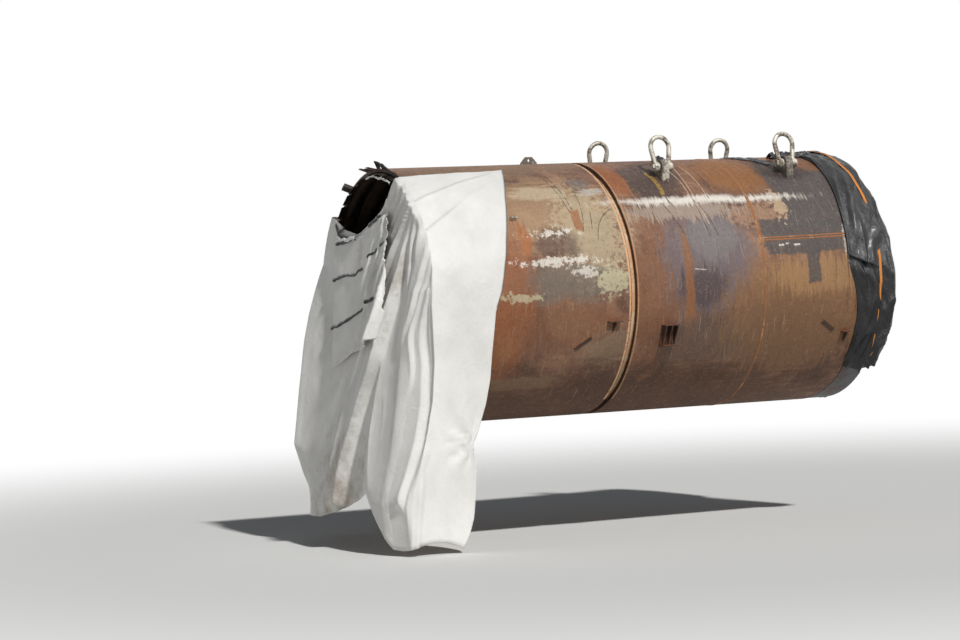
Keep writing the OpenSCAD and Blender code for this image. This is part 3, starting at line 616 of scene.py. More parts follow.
WHITE_POLY = Sheeting("coated_white_poly_sheeting", "#EDEBE6", "#D9D7D2", "#8A7762", 0.55, 0.86)
BLACK_POLY = Sheeting("black_poly_sheeting", "#131315", "#1C1C1F", "#3E3935", 0.4, 0.9, crease=0.6, coat=0.12)
RUST_PLATE = RolledPlate()
STEELS: dict[str, Steelwork] = {
    "inner_steel": Steelwork("red_oxide_primer_dusty", "#4A352C", "#5C473A", "#7C6A58", 0.45, 0.7),
    "drive_steel": Steelwork("machined_casting_dark_primer", "#4A4743", "#5C5852", "#7F6B58", 0.35, 0.6),
    "ram_red": Steelwork("worn_red_enamel", "#8E2A20", "#7A261E", "#54392E", 0.3, 0.42, grit_mm=3.0),
    "rod_chrome": Steelwork("hard_chrome_plate", "#B9BABB", "#A8AAAC", "#8F8A82",
                            0.1, 0.2, 1.0, 1.5, 6.0, 0.05),
    "erector_paint": Steelwork("worn_yellow_enamel", "#B98A2C", "#A87C28", "#5A4632", 0.35, 0.45),
    "spring_steel": Steelwork("spring_steel_oiled", "#211B18", "#2C2420", "#5A4334", 0.4, 0.5, 0.4),
    "lug_steel": Steelwork("lug_plate_scuffed", "#6E655B", "#463D36", "#C9BEAE", 0.5, 0.62),
    # orange rust on upper faces, with painted shade darkening the sides and undersides
    "bracket_steel": Steelwork("flame_cut_bracket_rusted", "#A85A28", "#6E4028", "#B87A4C", 0.45, 0.72,
                               painted_underside_shade="#2A211C"),
    # pale tan, paler than the rust round it: painted light that brightens the sleeve deep in the articulation
    # gap
    "sleeve_steel": Steelwork("sliding_sleeve_rust_painted_light", "#D9A47A", "#BF8A60", "#E0BE98", 0.5, 0.7),
    "galvanised": Steelwork("galvanised_forging_worn", "#CFC9BA", "#A9A397", "#6D5E4E",
                            0.5, 0.5, 0.35, 9.0, 2.5),
    "head_paint": Steelwork("cutterhead_enamel_scuffed", "#5F6062", "#4D4A48", "#5C4334", 0.35, 0.55),
    "weld_bead": Steelwork("weld_bead_rusted", "#9A6335", "#7E4E2C", "#BC8A5C", 0.4, 0.6, grit_mm=4.0),
    "tool_steel": Steelwork("hardened_tool_steel", "#6F6C68", "#5C5955", "#8A5A3A", 0.45, 0.38, 0.9),
}
SLOT_NODES: dict[str, tuple[str, ...]] = {
    "inner_steel": ("bulkhead", "screw_port", "ball_seat", "jack_ring", "thrust_ring", "tail_seal_ring"),
    "drive_steel": ("main_drive", "drive_motors", "head_shaft", "hatch_door", "erector_rollers"),
    "ram_red": ("thrust_barrels",),
    "rod_chrome": ("rams_top", "rams_near", "rams_bottom", "rams_far"),
    "erector_paint": ("erector_ring", "erector_head"),
    "spring_steel": ("tail_brushes", "tail_end_plates"),
    "lug_steel": ("tail_padeyes", "lug_front_near", "lug_front_far", "lug_rear_near", "lug_rear_far"),
    "bracket_steel": ("tail_brackets", "centre_brackets", "front_brackets"),
    "sleeve_steel": ("ball_sleeve",),
    "galvanised": ("shackle_front_near", "shackle_front_far", "shackle_rear_near", "shackle_rear_far"),
    "head_paint": ("cutterhead",),
    "tool_steel": ("disc_cutters", "gauge_cutters", "scrapers"),
}
PLATE_NODES = ("front_shield", "centre_shield", "tail_shield")


def dress_frame() -> None:
    """Gives every CAD node that stays its finish, through its object's material slots."""
    plate = RUST_PLATE.build()
    finishes = {name: plate for name in PLATE_NODES}
    for slot, names in SLOT_NODES.items():
        steel = STEELS[slot].made()
        finishes.update({name: steel for name in names})
    for name, material in finishes.items():
        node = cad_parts[name]
        if not node.material_slots:
            node.data.materials.append(None)
        for place in node.material_slots:
            place.link = "OBJECT"
            place.material = material
    LOG.info("finished %d frame nodes", len(finishes))


class Cloth:
    """A sheet built from a grid of points, closed into a thin shell."""

    def __init__(self, name: str, points: np.ndarray, thickness: float, outward: float = 1.0) -> None:
        """Keeps the grid.

        Args:
            name: the piece's name.
            points: rows by columns by three.
            thickness: the shell's thickness in metres.
            outward: 1 where rows crossed with columns point outwards, and -1 otherwise.
        """
        self.name = name
        self.points = points
        self.thickness = thickness
        self.outward = outward

    def normals(self) -> np.ndarray:
        """Gives the grid's unit normals."""
        down = np.gradient(self.points, axis=0)
        across = np.gradient(self.points, axis=1)
        normal = np.cross(across, down) * self.outward
        length = np.linalg.norm(normal, axis=2, keepdims=True)
        return normal / np.maximum(length, 1e-9)

    def length(self, axis: int) -> np.ndarray:
        """Gives each point's distance along the cloth from its first row or column."""
        steps = np.linalg.norm(np.diff(self.points, axis=axis), axis=2)
        return np.cumsum(np.insert(steps, 0, 0, axis=axis), axis=axis)

    def shell(self) -> tuple[np.ndarray, np.ndarray, np.ndarray]:
        """Gives the closed shell's corners, faces and flat coordinates."""
        rows, columns = self.points.shape[:2]
        normal = self.normals() * self.thickness / 2
        outer, inner = self.points + normal, self.points - normal
        vertices = np.concatenate([outer.reshape(-1, 3), inner.reshape(-1, 3)])
        count = rows * columns
        index = np.arange(count).reshape(rows, columns)
        a, b, c, d = index[:-1, :-1], index[:-1, 1:], index[1:, 1:], index[1:, :-1]
        quads = np.stack([a, b, c, d], axis=-1).reshape(-1, 4)
        ring = np.concatenate([index[0, :-1], index[:-1, -1], index[-1, :0:-1], index[:0:-1, 0]])
        after = np.roll(ring, -1)
        edge = np.stack([ring, ring + count, after + count, after], axis=-1)
        if self.outward < 0:
            quads, edge = quads[:, ::-1], edge[:, ::-1]
        flat = np.stack([self.length(1), self.length(0)], axis=-1).reshape(-1, 2)
        return vertices, np.concatenate([quads, quads[:, ::-1] + count, edge]), np.tile(flat, (2, 1))

    def build(self, material: Material, **marks: np.ndarray) -> Object:
        """Makes the sheet's object at the origin.

        Args:
            material: its finish.
            marks: a share from 0 to 1 at each grid point for each attribute that the finish reads.

        Returns:
            The new object.
        """
        return sew(self.name, [self], material, **{k: np.tile(v.ravel(), 2) for k, v in marks.items()})


def sew(name: str, sheets: list[Cloth], material: Material, **marks: np.ndarray) -> Object:
    """Makes one object of one or more sheets.

    Args:
        name: the object's name.
        sheets: its sheets, each closed by itself.
        material: their finish.
        marks: values of the attributes that the finish reads, one for each corner.

    Returns:
        The new object, at the origin.
    """
    shells = [sheet.shell() for sheet in sheets]
    starts = np.cumsum([0] + [len(v) for v, _, _ in shells[:-1]])
    vertices = np.concatenate([v for v, _, _ in shells])
    faces = np.concatenate([f + k for k, (_, f, _) in zip(starts, shells)])
    flat = np.concatenate([u for _, _, u in shells])
    mesh = bpy.data.meshes.new(name)
    mesh.from_pydata(vertices.tolist(), [], faces.tolist())
    loops = np.zeros(len(mesh.loops), dtype=np.int64)
    mesh.loops.foreach_get("vertex_index", loops)
    mesh.uv_layers.new(name="cloth").data.foreach_set("uv", flat[loops].ravel())
    for label, share in marks.items():
        layer = mesh.attributes.new(label, "FLOAT", "POINT")
        layer.data.foreach_set("value", share.astype(np.float32))
    mesh.polygons.foreach_set("use_smooth", [True] * len(mesh.polygons))
    mesh.materials.append(material)
    mesh.update()
    piece = put(name, mesh)
    LOG.info("%s: %d faces", name, len(mesh.polygons))
    return piece


class Wrinkles:
    """Smooth seeded noise for folds, the same on each run."""

    def __init__(self, seed: int) -> None:
        """Draws the lattice."""
        self.lattice = np.random.default_rng(seed).random((LATTICE, LATTICE))

    def at(self, u: np.ndarray, v: np.ndarray) -> np.ndarray:
        """Gives smooth noise from 0 to 1.

        Args:
            u: first coordinate, one unit to a lattice cell.
            v: second coordinate.

        Returns:
            The noise at each point.
        """
        iu, iv = np.floor(u).astype(int), np.floor(v).astype(int)
        fu, fv = u - iu, v - iv
        fu, fv = (f * f * f * (f * (f * 6 - 15) + 10) for f in (fu, fv))

        def cell(i: int, j: int) -> np.ndarray:
            """Reads the lattice i and j cells further on."""
            return self.lattice[(iu + i) % LATTICE, (iv + j) % LATTICE]

        low = cell(0, 0) * (1 - fu) + cell(1, 0) * fu
        high = cell(0, 1) * (1 - fu) + cell(1, 1) * fu
        return low * (1 - fv) + high * fv

    def layered(self, u: np.ndarray, v: np.ndarray, octaves: int = 3) -> np.ndarray:
        """Gives noise of several sizes, about -1 to 1."""
        total, weight = 0.0, 0.0
        for k in range(octaves):
            share = 0.5**k
            total = total + share * (2 * self.at(u * 2**k + 17 * k, v * 2**k + 31 * k) - 1)
            weight += share
        return total / weight

    def ridged(self, u: np.ndarray, v: np.ndarray) -> np.ndarray:
        """Gives narrow crests with broad hollows between them, 0 to 1."""
        return (1 - np.abs(2 * self.at(u, v) - 1)) ** 2


def smooth(value: np.ndarray, low: float, high: float) -> np.ndarray:
    """Eases from 0 at low to 1 at high."""
    t = np.clip((value - low) / (high - low), 0, 1)
    return t * t * (3 - 2 * t)


def lengths(line: np.ndarray) -> np.ndarray:
    """Gives each point's distance along a line from its start."""
    return np.insert(np.cumsum(np.linalg.norm(np.diff(line, axis=0), axis=1)), 0, 0)


def widen(first: np.ndarray, second: np.ndarray, across: np.ndarray, wide: np.ndarray) -> list[np.ndarray]:
    """Spreads a line out to a ribbon in its own plane.

    Args:
        first: the line's first coordinate.
        second: its second coordinate.
        across: a share from -0.5 to 0.5 for each row.
        wide: the ribbon's width along the line.

    Returns:
        Both coordinates, with a row for each share.
    """
    slope = np.stack([np.gradient(np.ravel(first)), np.gradient(np.ravel(second))])
    slope = slope / np.linalg.norm(slope, axis=0)
    return [first - slope[1] * across * wide, second + slope[0] * across * wide]


def column(table: tuple[Pair, ...], at: np.ndarray) -> np.ndarray:
    """Reads a table of pairs, lowest first, between its rows."""
    keys, values = zip(*table)
    return np.interp(at, keys, values)


@dataclass(frozen=True)
class Pleat:
    """One pleat: a steep side to the near edge, a crest, and a long slope to the far edge."""

    # distance to the far side, height above the axis and how far the crest stands out there, top first
    crest: tuple[tuple[float, float, float], ...]
    slope: float = 0.3
    steep: float = 1.8

    def relief(self, y: np.ndarray, h: np.ndarray) -> np.ndarray:
        """Gives the pleat's relief.

        Args:
            y: distance to the far side.
            h: height above the axis.

        Returns:
            How far each point stands out.
        """
        line = np.array(self.crest)[::-1]
        levels = [h + k for k in (-0.15, -0.05, 0.05, 0.15)]
        ridge, out = (np.mean([np.interp(k, line[:, 1], line[:, j]) for k in levels], axis=0) for j in (0, 2))
        off = y - ridge
        out = out * smooth(h, line[0, 1] - 0.12, line[0, 1] + 0.05)
        out = out * smooth(h, line[-1, 1] + 0.1, line[-1, 1])
        rise = smooth(off, -np.maximum(out / self.steep, 0.04), 0.0)
        fall = (1 - np.clip(off / self.slope, 0, 1)) ** 1.4
        return out * np.where(off < 0, rise, fall)


@dataclass
class TailCover:
    """White sheeting hung over the tail: a near side, an end curtain and a far side in one sheet."""

    thickness: float = 0.004
    rows: int = 135
    near_columns: int = 48
    end_columns: int = 285
    far_columns: int = 20
    near_top: Pair = (21.0, 25.0)
    far_top: float = 50.0
    clear: float = 0.03
    # how far round and down the lower corners of each side panel are: at the free edge, and at the rim
    near_low: Pair = (7.26, 7.22)
    far_low: Pair = (6.25, 6.62)
    # two creases on the near side: their slope, and where they cross crease_x
    creases: tuple[Pair, ...] = ((0.44, 1.52), (0.65, 2.06))
    crease_x: float = -5.68
    # middle of the knot that gathers the near edge, along the axis and by its drape
    knot: Pair = (-5.40, 5.64)
    # distance round from the crown, then straight down, against the place of the free edge along the axis
    near_edge: tuple[Pair, ...] = (
        (0.73, -3.96), (1.61, -4.30), (2.43, -4.55), (2.83, -4.65), (3.27, -4.76), (3.56, -4.88),
        (4.17, -4.98), (4.61, -5.04), (5.03, -5.14), (5.29, -5.24), (5.51, -5.33), (5.64, -5.40),
        (5.98, -5.36), (6.42, -5.39), (6.79, -5.44), (7.04, -5.52), (7.26, -5.64),
    )
    near_corner: tuple[Pair, ...] = (
        (0.0, -5.91), (2.6, -5.91), (2.97, -5.95), (3.4, -6.0), (4.3, -6.0), (4.9, -6.06), (5.5, -6.2),
        (6.3, -6.45), (7.2, -6.53),
    )
    far_edge: tuple[Pair, ...] = (
        (1.8, -4.35), (2.5, -4.6), (3.55, -4.85), (4.9, -5.15), (6.2, -5.45),
    )
    far_corner: tuple[Pair, ...] = (
        (1.8, -5.99), (2.72, -6.0), (3.52, -6.27), (3.97, -6.39), (4.8, -6.53), (5.69, -6.66), (6.18, -6.5),
        (6.62, -6.3),
    )
    top_edge: tuple[Pair, ...] = (
        (-0.9, 1.93), (-0.76, 1.81), (-0.68, 1.71), (-0.64, 1.62), (-0.43, 1.45), (0.0, 1.25), (0.46, 1.07),
        (0.63, 1.04), (1.1, 1.12), (1.5, 1.31), (1.609, 1.35),
    )
    hem: tuple[Pair, ...] = (
        (-2.112, -3.96), (-1.9, -3.98), (-1.69, -3.96), (-1.32, -3.58), (-0.88, -3.10), (-0.43, -3.25),
        (0.2, -3.42), (0.87, -3.55), (1.53, -3.55), (2.112, -3.32),
    )
    # how far the folds have leant to the far side, against the drop from the crown
    lean: tuple[Pair, ...] = (
        (0.0, 0.0), (0.6, 0.6), (1.6, 1.15), (2.6, 1.5), (4.1, 1.8), (6.5, 2.1),
    )
    bulge: tuple[Pair, ...] = (
        (-4.1, 0.85), (-3.0, 0.80), (-1.5, 0.56), (0.0, 0.30), (1.1, 0.12), (2.1, 0.1),
    )
    pleats: tuple[Pleat, ...] = (
        Pleat(((-0.63, 1.53, 0.035), (-0.57, 1.35, 0.045), (-0.5, 1.15, 0.045)), 0.12),
        Pleat(((-1.09, 1.83, 0.06), (-0.98, 1.61, 0.075), (-0.76, 1.44, 0.06), (-0.6, 1.35, 0.03)), 0.2),
        Pleat(((-1.25, 1.71, 0.04), (-1.21, 1.56, 0.055), (-0.97, 1.33, 0.07), (-0.6, 0.98, 0.05)), 0.24),
        Pleat(((-1.5, 1.66, 0.04), (-1.39, 1.55, 0.045), (-1.21, 1.32, 0.05), (-0.8, 0.97, 0.05)), 0.16),
        Pleat(((-1.57, 1.58, 0.04), (-1.38, 1.31, 0.065), (-1.12, 0.97, 0.085), (-0.9, 0.53, 0.1),
               (-0.5, -0.1, 0.09))),
        Pleat(
            (
                (-1.7, 1.46, 0.022), (-1.51, 1.31, 0.032), (-1.38, 0.94, 0.07), (-1.32, 0.53, 0.11),
                (-1.25, 0.12, 0.17), (-1.15, -0.19, 0.2), (-1.01, -0.56, 0.22), (-0.9, -0.99, 0.23),
                (-0.63, -1.4, 0.24), (-0.42, -1.84, 0.24), (-0.1, -2.6, 0.24), (0.1, -3.3, 0.22),
            ),
            0.9,
        ),
        Pleat(((-1.74, 1.41, 0.035), (-1.6, 1.31, 0.04), (-1.57, 0.95, 0.05), (-1.59, 0.52, 0.055),
               (-1.52, 0.16, 0.02)), 0.2),
        Pleat(((-1.86, 1.14, 0.035), (-1.8, 0.92, 0.04), (-1.74, 0.69, 0.02)), 0.15),
        Pleat(
            (
                (-2.05, 1.09, 0.035), (-1.99, 0.92, 0.045), (-1.93, 0.51, 0.067), (-1.82, 0.11, 0.075),
                (-1.78, -0.2, 0.08), (-1.62, -0.57, 0.035), (-1.53, -0.73, 0.01),
            ),
            0.4,
        ),
        Pleat(
            (
                (-2.08, 0.75, 0.035), (-2.03, 0.51, 0.04), (-1.92, 0.11, 0.035), (-1.84, -0.2, 0.04),
                (-1.74, -0.58, 0.07), (-1.8, -1.0, 0.06), (-1.78, -1.4, 0.035), (-1.7, -1.5, 0.01),
            ),
            0.2,
        ),
        Pleat(
            (
                (-2.05, 0.11, 0.045), (-1.97, -0.21, 0.06), (-1.88, -0.58, 0.08), (-1.93, -1.0, 0.09),
                (-1.94, -1.4, 0.09), (-1.96, -1.82, 0.11), (-1.98, -3.2, 0.11),
            ),
            0.5,
        ),
    )

    def __post_init__(self) -> None:
        """Works out the length round to the shield's side and how fast the rows fall."""
        self.round = BODY.radius + self.clear
        self.side = BODY.radius * math.pi / 2
        even = np.linspace(0, 1, self.rows)
        self.fall = 0.35 * even + 0.65 * even**2

    def rim_point(self, drape: np.ndarray, hand: float) -> tuple[np.ndarray, np.ndarray]:
        """Gives where the drape runs over the shield's side, seen from the end.

        Args:
            drape: distance round from the crown and down.
            hand: -1 on the near side and 1 on the far side.

        Returns:
            The distance to the far side and the height above the axis.
        """
        angle = np.minimum(drape, self.side) / BODY.radius
        below = np.maximum(drape - self.side, 0)
        return hand * self.round * np.sin(angle), self.round * np.cos(angle) - below

    def side_grid(self, hand: float, count: int) -> np.ndarray:
        """Makes the panel on one side, from its free edge to the corner over the rim.

        Args:
            hand: -1 on the near side and 1 on the far side.
            count: its number of columns.

        Returns:
            Rows by columns by three.
        """
        near = hand < 0
        low = self.near_low if near else self.far_low
        t = self.fall[:, None]
        c = np.linspace(0, 1, count)[None, :]
        top = BODY.radius * np.radians(np.interp(c, (0, 1), self.near_top) if near else self.far_top)
        sag = 0.10 * np.sin(np.pi * c) if near else 0.0
        drape = top + t * (low[0] * (1 - c) + low[1] * c - sag - top)
        edge = column(self.near_edge if near else self.far_edge, drape)
        corner = column(self.near_corner if near else self.far_corner, drape)
        x = edge * (1 - c) + corner * c
        lift = self.side_folds(x, drape, c, near)
        y, h = self.rim_point(drape, hand)
        angle = np.minimum(drape, self.side) / BODY.radius
        y = y + hand * lift * np.sin(angle)
        h = h + lift * np.cos(angle)
        return np.stack([x + 0 * y, y, h + BODY.axis_z], axis=-1)

    def side_folds(self, x: np.ndarray, drape: np.ndarray, c: np.ndarray, near: bool) -> np.ndarray:
        """Gives how far the side panel stands off the shield.

        Args:
            x: place along the axis.
            drape: distance round and down.
            c: share of the way from the free edge to the corner.
            near: whether this is the near side.

        Returns:
            The lift of each point in metres.
        """
        noise = Wrinkles(11 if near else 12)
        down = drape - self.side
        hang = smooth(down, -0.2, 2.6)
        soft = noise.ridged(x / 0.36 + 0.3 * down, down / 3.4 + 5) - 0.35
        broad = noise.layered(x / 0.8, down / 2.2 + 9, 2)
        lift = hang * (0.11 * soft + 0.06 * broad)
        skin = 0.012 * noise.ridged(x / 0.5 + drape / 1.3, drape / 1.1) * (1 - hang)
        lift = lift + skin + 0.004 * noise.layered(x / 0.11, drape / 0.16, 2)
        if near:
            lift = lift + self.knot_folds(x, drape)
            for slope, start in self.creases:
                crease = (x - self.crease_x) * slope + (drape - start)
                lift = lift + 0.014 * np.exp(-((crease / 0.05) ** 2)) * (1 - hang) * smooth(x, -4.1, -4.9)
        return np.maximum(lift, -0.006) * (1 - 0.75 * smooth(c, 0.86, 1.0))

    def knot_folds(self, x: np.ndarray, drape: np.ndarray) -> np.ndarray:
        """Gives the folds that run out from the gathered knot at the near edge."""
        dx, dz = x - self.knot[0], drape - self.knot[1]
        reach = np.hypot(dx, dz)
        angle = np.arctan2(dz, -dx)
        rays = np.sin(9 * angle + 1.2 * np.sin(3 * angle))
        return 0.05 * np.exp(-reach / 0.55) * rays * smooth(reach, 0.02, 0.16)

    def end_grid(self) -> np.ndarray:
        """Makes the end curtain between the near corner and the far corner."""
        t = self.fall[:, None]
        even = np.linspace(0, 1, self.end_columns)[None, :]
        s = 0.62 * even + 0.38 * even**2
        near_top, far_top = (BODY.radius * math.radians(a) for a in (self.near_top[1], self.far_top))
        left = self.rim_point(near_top + t * (self.near_low[1] - near_top), -1.0)
        right = self.rim_point(far_top + t * (self.far_low[1] - far_top), 1.0)
        sides = []
        for k in (0, 1):
            top = self.along(self.top_edge, k, s)
            low = self.along(self.hem, k, s)
            top = top + (left[k][0] - top[0, 0]) * (1 - s) + (right[k][0] - top[0, -1]) * s
            low = low + (left[k][-1] - low[0, 0]) * (1 - s) + (right[k][-1] - low[0, -1]) * s
            upper = (1 - s) * left[k][0] + s * right[k][0]
            corners = (1 - t) * upper + t * ((1 - s) * left[k][-1] + s * right[k][-1])
            sides.append((1 - s) * left[k] + s * right[k] + (1 - t) * top + t * low - corners)
        y, h = sides
        near_x = column(self.near_corner, near_top + t * (self.near_low[1] - near_top))
        far_x = column(self.far_corner, far_top + t * (self.far_low[1] - far_top))
        folds = self.end_folds(y, h)
        middle = BODY.rim_x - column(self.bulge, h)
        ease_near = smooth(s, 0.0, 0.014 + 0.14 * smooth(h, 1.3, -0.3))
        ease_far = smooth(s, 1.0, 0.8)
        x = middle * ease_near * ease_far + near_x * (1 - ease_near) + far_x * (1 - ease_far)
        x = x - folds * (0.3 + 0.7 * smooth(s, 0.0, 0.012)) * (0.35 + 0.65 * smooth(s, 1.0, 0.95))
        return np.stack([x, y, h + BODY.axis_z], axis=-1)

    @staticmethod
    def along(points: tuple[Pair, ...], axis: int, s: np.ndarray) -> np.ndarray:
        """Reads one coordinate of a drawn line by its share of the length."""
        line = np.array(points)
        length = lengths(line)
        return np.interp(s, length / length[-1], line[:, axis])

    def face(self, y: np.ndarray, h: np.ndarray) -> np.ndarray:
        """Gives where the end curtain lies along the axis, away from its corners."""
        return BODY.rim_x - column(self.bulge, h) - self.end_folds(y, h)

    def end_folds(self, y: np.ndarray, h: np.ndarray) -> np.ndarray:
        """Gives how far the end curtain's folds stand out.

        Args:
            y: distance to the far side.
            h: height above the axis.

        Returns:
            The relief of each point in metres.
        """
        noise = Wrinkles(21)
        drop = 2.1 - h
        across = y + 2.1 - column(self.lean, drop)
        fan = across / (0.2 + 0.06 * drop)
        near = smooth(y, 0.6, -1.2) * smooth(h, -3.4, 0.4)
        fine = noise.ridged(fan * 1.9 + 70, drop / 2.4 + 3) - 0.3
        broad = noise.ridged(fan / 2.6 + 12, drop / 3.5 + 7) - 0.4
        relief = sum(pleat.relief(y, h) for pleat in self.pleats)
        relief = relief + fine * (0.006 + 0.014 * near) + broad * (0.03 + 0.12 * smooth(h, 0.6, -2.4))
        crumple = noise.ridged(y / 0.22 + h / 0.5, h / 0.3) - 0.3
        relief = relief + 0.014 * crumple * smooth(h, -0.9, -1.5) * smooth(np.abs(y - 0.5), 1.1, 0.6)
        return relief + 0.003 * noise.layered(y / 0.12, h / 0.14, 2)

    def soil(self, points: np.ndarray) -> np.ndarray:
        """Gives the dirt along the hem and low on the end curtain."""
        h = points[..., 2] - BODY.axis_z
        y = points[..., 1]
        low = smooth(h, -0.3, -3.2)
        end = smooth(points[..., 0], -5.85, -6.1)
        broad = column([(-3.2, 0.1), (-1.4, -0.6), (-0.6, -1.0), (0.5, -1.35), (1.3, -1.5)], h)
        dusty = end * smooth(h, 1.2, 0.6) * np.exp(-(((y - broad) / 0.16) ** 2))
        return np.maximum(low * (0.35 + 0.65 * end * np.exp(-(((y - 0.3) / 1.2) ** 2))), 0.85 * dusty)

    def build(self) -> Object:
        near = self.side_grid(-1.0, self.near_columns)
        end = self.end_grid()
        far = self.side_grid(1.0, self.far_columns)[:, ::-1]
        corners = ((near[:, -1:] + end[:, :1]) / 2, (end[:, -1:] + far[:, :1]) / 2)
        grid = np.concatenate([near[:, :-1], corners[0], end[:, 1:-1], corners[1], far[:, 1:]], axis=1)
        grid[:, 1:-1] = 0.5 * grid[:, 1:-1] + 0.25 * (grid[:, :-2] + grid[:, 2:])
        hem = np.zeros(grid.shape[:2])
        hem[:, 0] = self.fall < 0.42
        angle = np.arctan2(-near[..., 1], near[..., 2] - BODY.axis_z) * BODY.radius
        # painted shade: two dark crease lines drawn on the near side into the same mask as the hems
        side = hem[:, : self.near_columns]
        for (slope, start), reach in zip(self.creases, (-4.1, -5.0)):
            away = (near[..., 0] - self.crease_x) * slope + angle - start
            crease_shade = 0.3 * np.exp(-((away / 0.02) ** 2)) * smooth(near[..., 0], reach, reach - 0.5)
            side[:] = np.maximum(side, crease_shade)
        hem[-1, -self.far_columns :] = 1.0
        self.finish = WHITE_POLY.build()
        cloth = Cloth("tail_sheeting", grid, self.thickness, -1.0)
        piece = cloth.build(self.finish, soil=self.soil(grid), seam=hem)
        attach(piece, "tail")
        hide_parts("tail_cover_near", "tail_cover_end", "tail_cover_far")
        return piece


@dataclass
class EndFlap:
    """Loose flap that hangs over the end curtain from the edge of its opening, with its rows of ties."""

    cover: TailCover
    rows: int = 90
    columns: int = 170
    clear: float = 0.03
    top: tuple[Pair, ...] = ((1.37, 1.02), (0.99, 0.97), (0.5, 1.01), (-0.09, 1.21), (-0.7, 1.37))
    near: tuple[Pair, ...] = (
        (-0.7, 1.37), (-0.99, 0.89), (-1.02, 0.54), (-1.22, 0.13), (-1.25, -0.19), (-1.16, -0.62),
    )
    foot: tuple[Pair, ...] = ((1.0, -1.14), (0.3, -0.9), (-0.6, -0.76), (-1.0, -0.67), (-1.16, -0.62))
    far: tuple[Pair, ...] = ((1.37, 1.02), (1.35, 0.62), (1.3, 0.32), (1.15, -0.39), (1.0, -1.14))
    pleats: tuple[Pleat, ...] = (
        Pleat(
            (
                (-0.69, 1.37, 0.008), (-0.98, 0.89, 0.014), (-1.0, 0.54, 0.035), (-1.16, 0.13, 0.1),
                (-1.18, -0.19, 0.125), (-1.06, -0.66, 0.17),
            ),
            0.6,
        ),
        Pleat(((-0.5, 1.32, 0.03), (-0.29, 1.0, 0.045), (-0.19, 0.66, 0.05), (-0.06, 0.39, 0.045),
               (0.08, 0.16, 0.015)), 0.2),
        Pleat(((-0.6, 1.34, 0.03), (-0.56, 0.89, 0.045), (-0.5, 0.5, 0.05), (-0.42, 0.1, 0.05),
               (-0.1, -0.59, 0.025)), 0.24),
    )
    # rows of black ties on the flap, each as points to the far side and above the axis
    ties: tuple[tuple[Pair, ...], ...] = (
        ((-0.56, 1.32), (-0.26, 1.27), (0.06, 1.19)),
        ((-0.9, 0.9), (-0.58, 0.86)),
        ((-0.42, 0.78), (-0.1, 0.69)),
        ((0.08, 0.5), (0.39, 0.39), (0.87, 0.38), (1.02, 0.35), (1.28, 0.3)),
        ((-0.69, 0.02), (-0.3, -0.06)),
        ((-0.09, -0.17), (0.36, -0.3), (0.83, -0.42), (1.17, -0.48)),
        ((0.52, 0.99), (0.8, 0.95), (1.14, 0.91), (1.29, 0.9)),
    )
    # and those on the curtain beside the opening's lowest point
    beside: tuple[tuple[Pair, ...], ...] = (
        ((1.5, 1.25), (1.38, 1.11), (1.32, 1.05), (1.02, 0.99)),
        ((1.36, 1.1), (1.1, 1.17)),
    )
    # pale torn edge inside the top of the opening
    torn: tuple[Pair, ...] = (
        (0.29, 1.95), (0.0, 1.98), (-0.21, 1.94), (-0.34, 1.95), (-0.46, 1.91), (-0.7, 1.84),
    )
    loop: tuple[Pair, ...] = ((1.27, 1.02), (1.13, 0.96), (0.98, 0.97), (0.8, 0.96), (0.52, 1.01))

    def face(self, y: np.ndarray, h: np.ndarray) -> np.ndarray:
        """Gives where the flap lies along the axis.

        Args:
            y: distance to the far side.
            h: height above the axis.

        Returns:
            The place of each point, clear of the curtain below.
        """
        below = [self.cover.face(y + a, h + b) for a in (-0.1, -0.05, 0.0, 0.05, 0.1) for b in (-0.1, 0.1)]
        lowest = np.minimum.reduce(below)
        ground = 0.6 * lowest + 0.4 * np.minimum(np.mean(below, axis=0), lowest)
        soft = Wrinkles(23).layered(y / 0.7, h / 0.9, 2)
        return ground - self.clear - 0.015 * (soft + 1) - sum(pleat.relief(y, h) for pleat in self.pleats)

    def grid(self) -> np.ndarray:
        """Spans the flap between its four edges."""
        t = np.linspace(0, 1, self.rows)[:, None]
        c = np.linspace(0, 1, self.columns)[None, :]
        flat = []
        for k in (0, 1):
            top, foot = (self.cover.along(edge, k, c) for edge in (self.top, self.foot))
            far, near = (self.cover.along(edge, k, t) for edge in (self.far, self.near))
            upper = (1 - c) * top[0, 0] + c * top[0, -1]
            lower = (1 - c) * foot[0, 0] + c * foot[0, -1]
            flat.append((1 - c) * far + c * near + (1 - t) * (top - upper) + t * (foot - lower))
        y, h = flat
        x = self.face(y, h) + (self.clear - 0.004) * smooth(t, 0.03, 0.0)
        return np.stack([x, y, h + BODY.axis_z], axis=-1)

    def ribbon(self, path: tuple[Pair, ...], width: float, lift: float, seed: int) -> Cloth:
        """Lays a tie along a path.

        Args:
            path: its points to the far side and above the axis.
            width: its mean width.
            lift: how far it lies over the flap.
            seed: picks its unevenness.

        Returns:
            The tie.
        """
        line = np.array(path)
        length = lengths(line)
        at = np.linspace(0, length[-1], max(8, int(length[-1] / 0.03)))
        noise = Wrinkles(40 + seed)
        y = np.interp(at, length, line[:, 0])
        h = np.interp(at, length, line[:, 1]) + 0.02 * noise.layered(at / 0.15, 0 * at + 2)
        wide = width * (0.6 + 0.9 * noise.at(at / 0.09, 0 * at + 7))
        across = np.linspace(-0.5, 0.5, 5)[:, None]
        y, h = widen(y, h, across, wide)
        puff = 0.3 + noise.at(at / 0.05, 0 * at + 11)
        x = self.face(y, h) - lift - 0.016 * (1 - (2 * across) ** 2) * puff
        return Cloth("tie", np.stack([x, y, h + BODY.axis_z], axis=-1), 0.008)

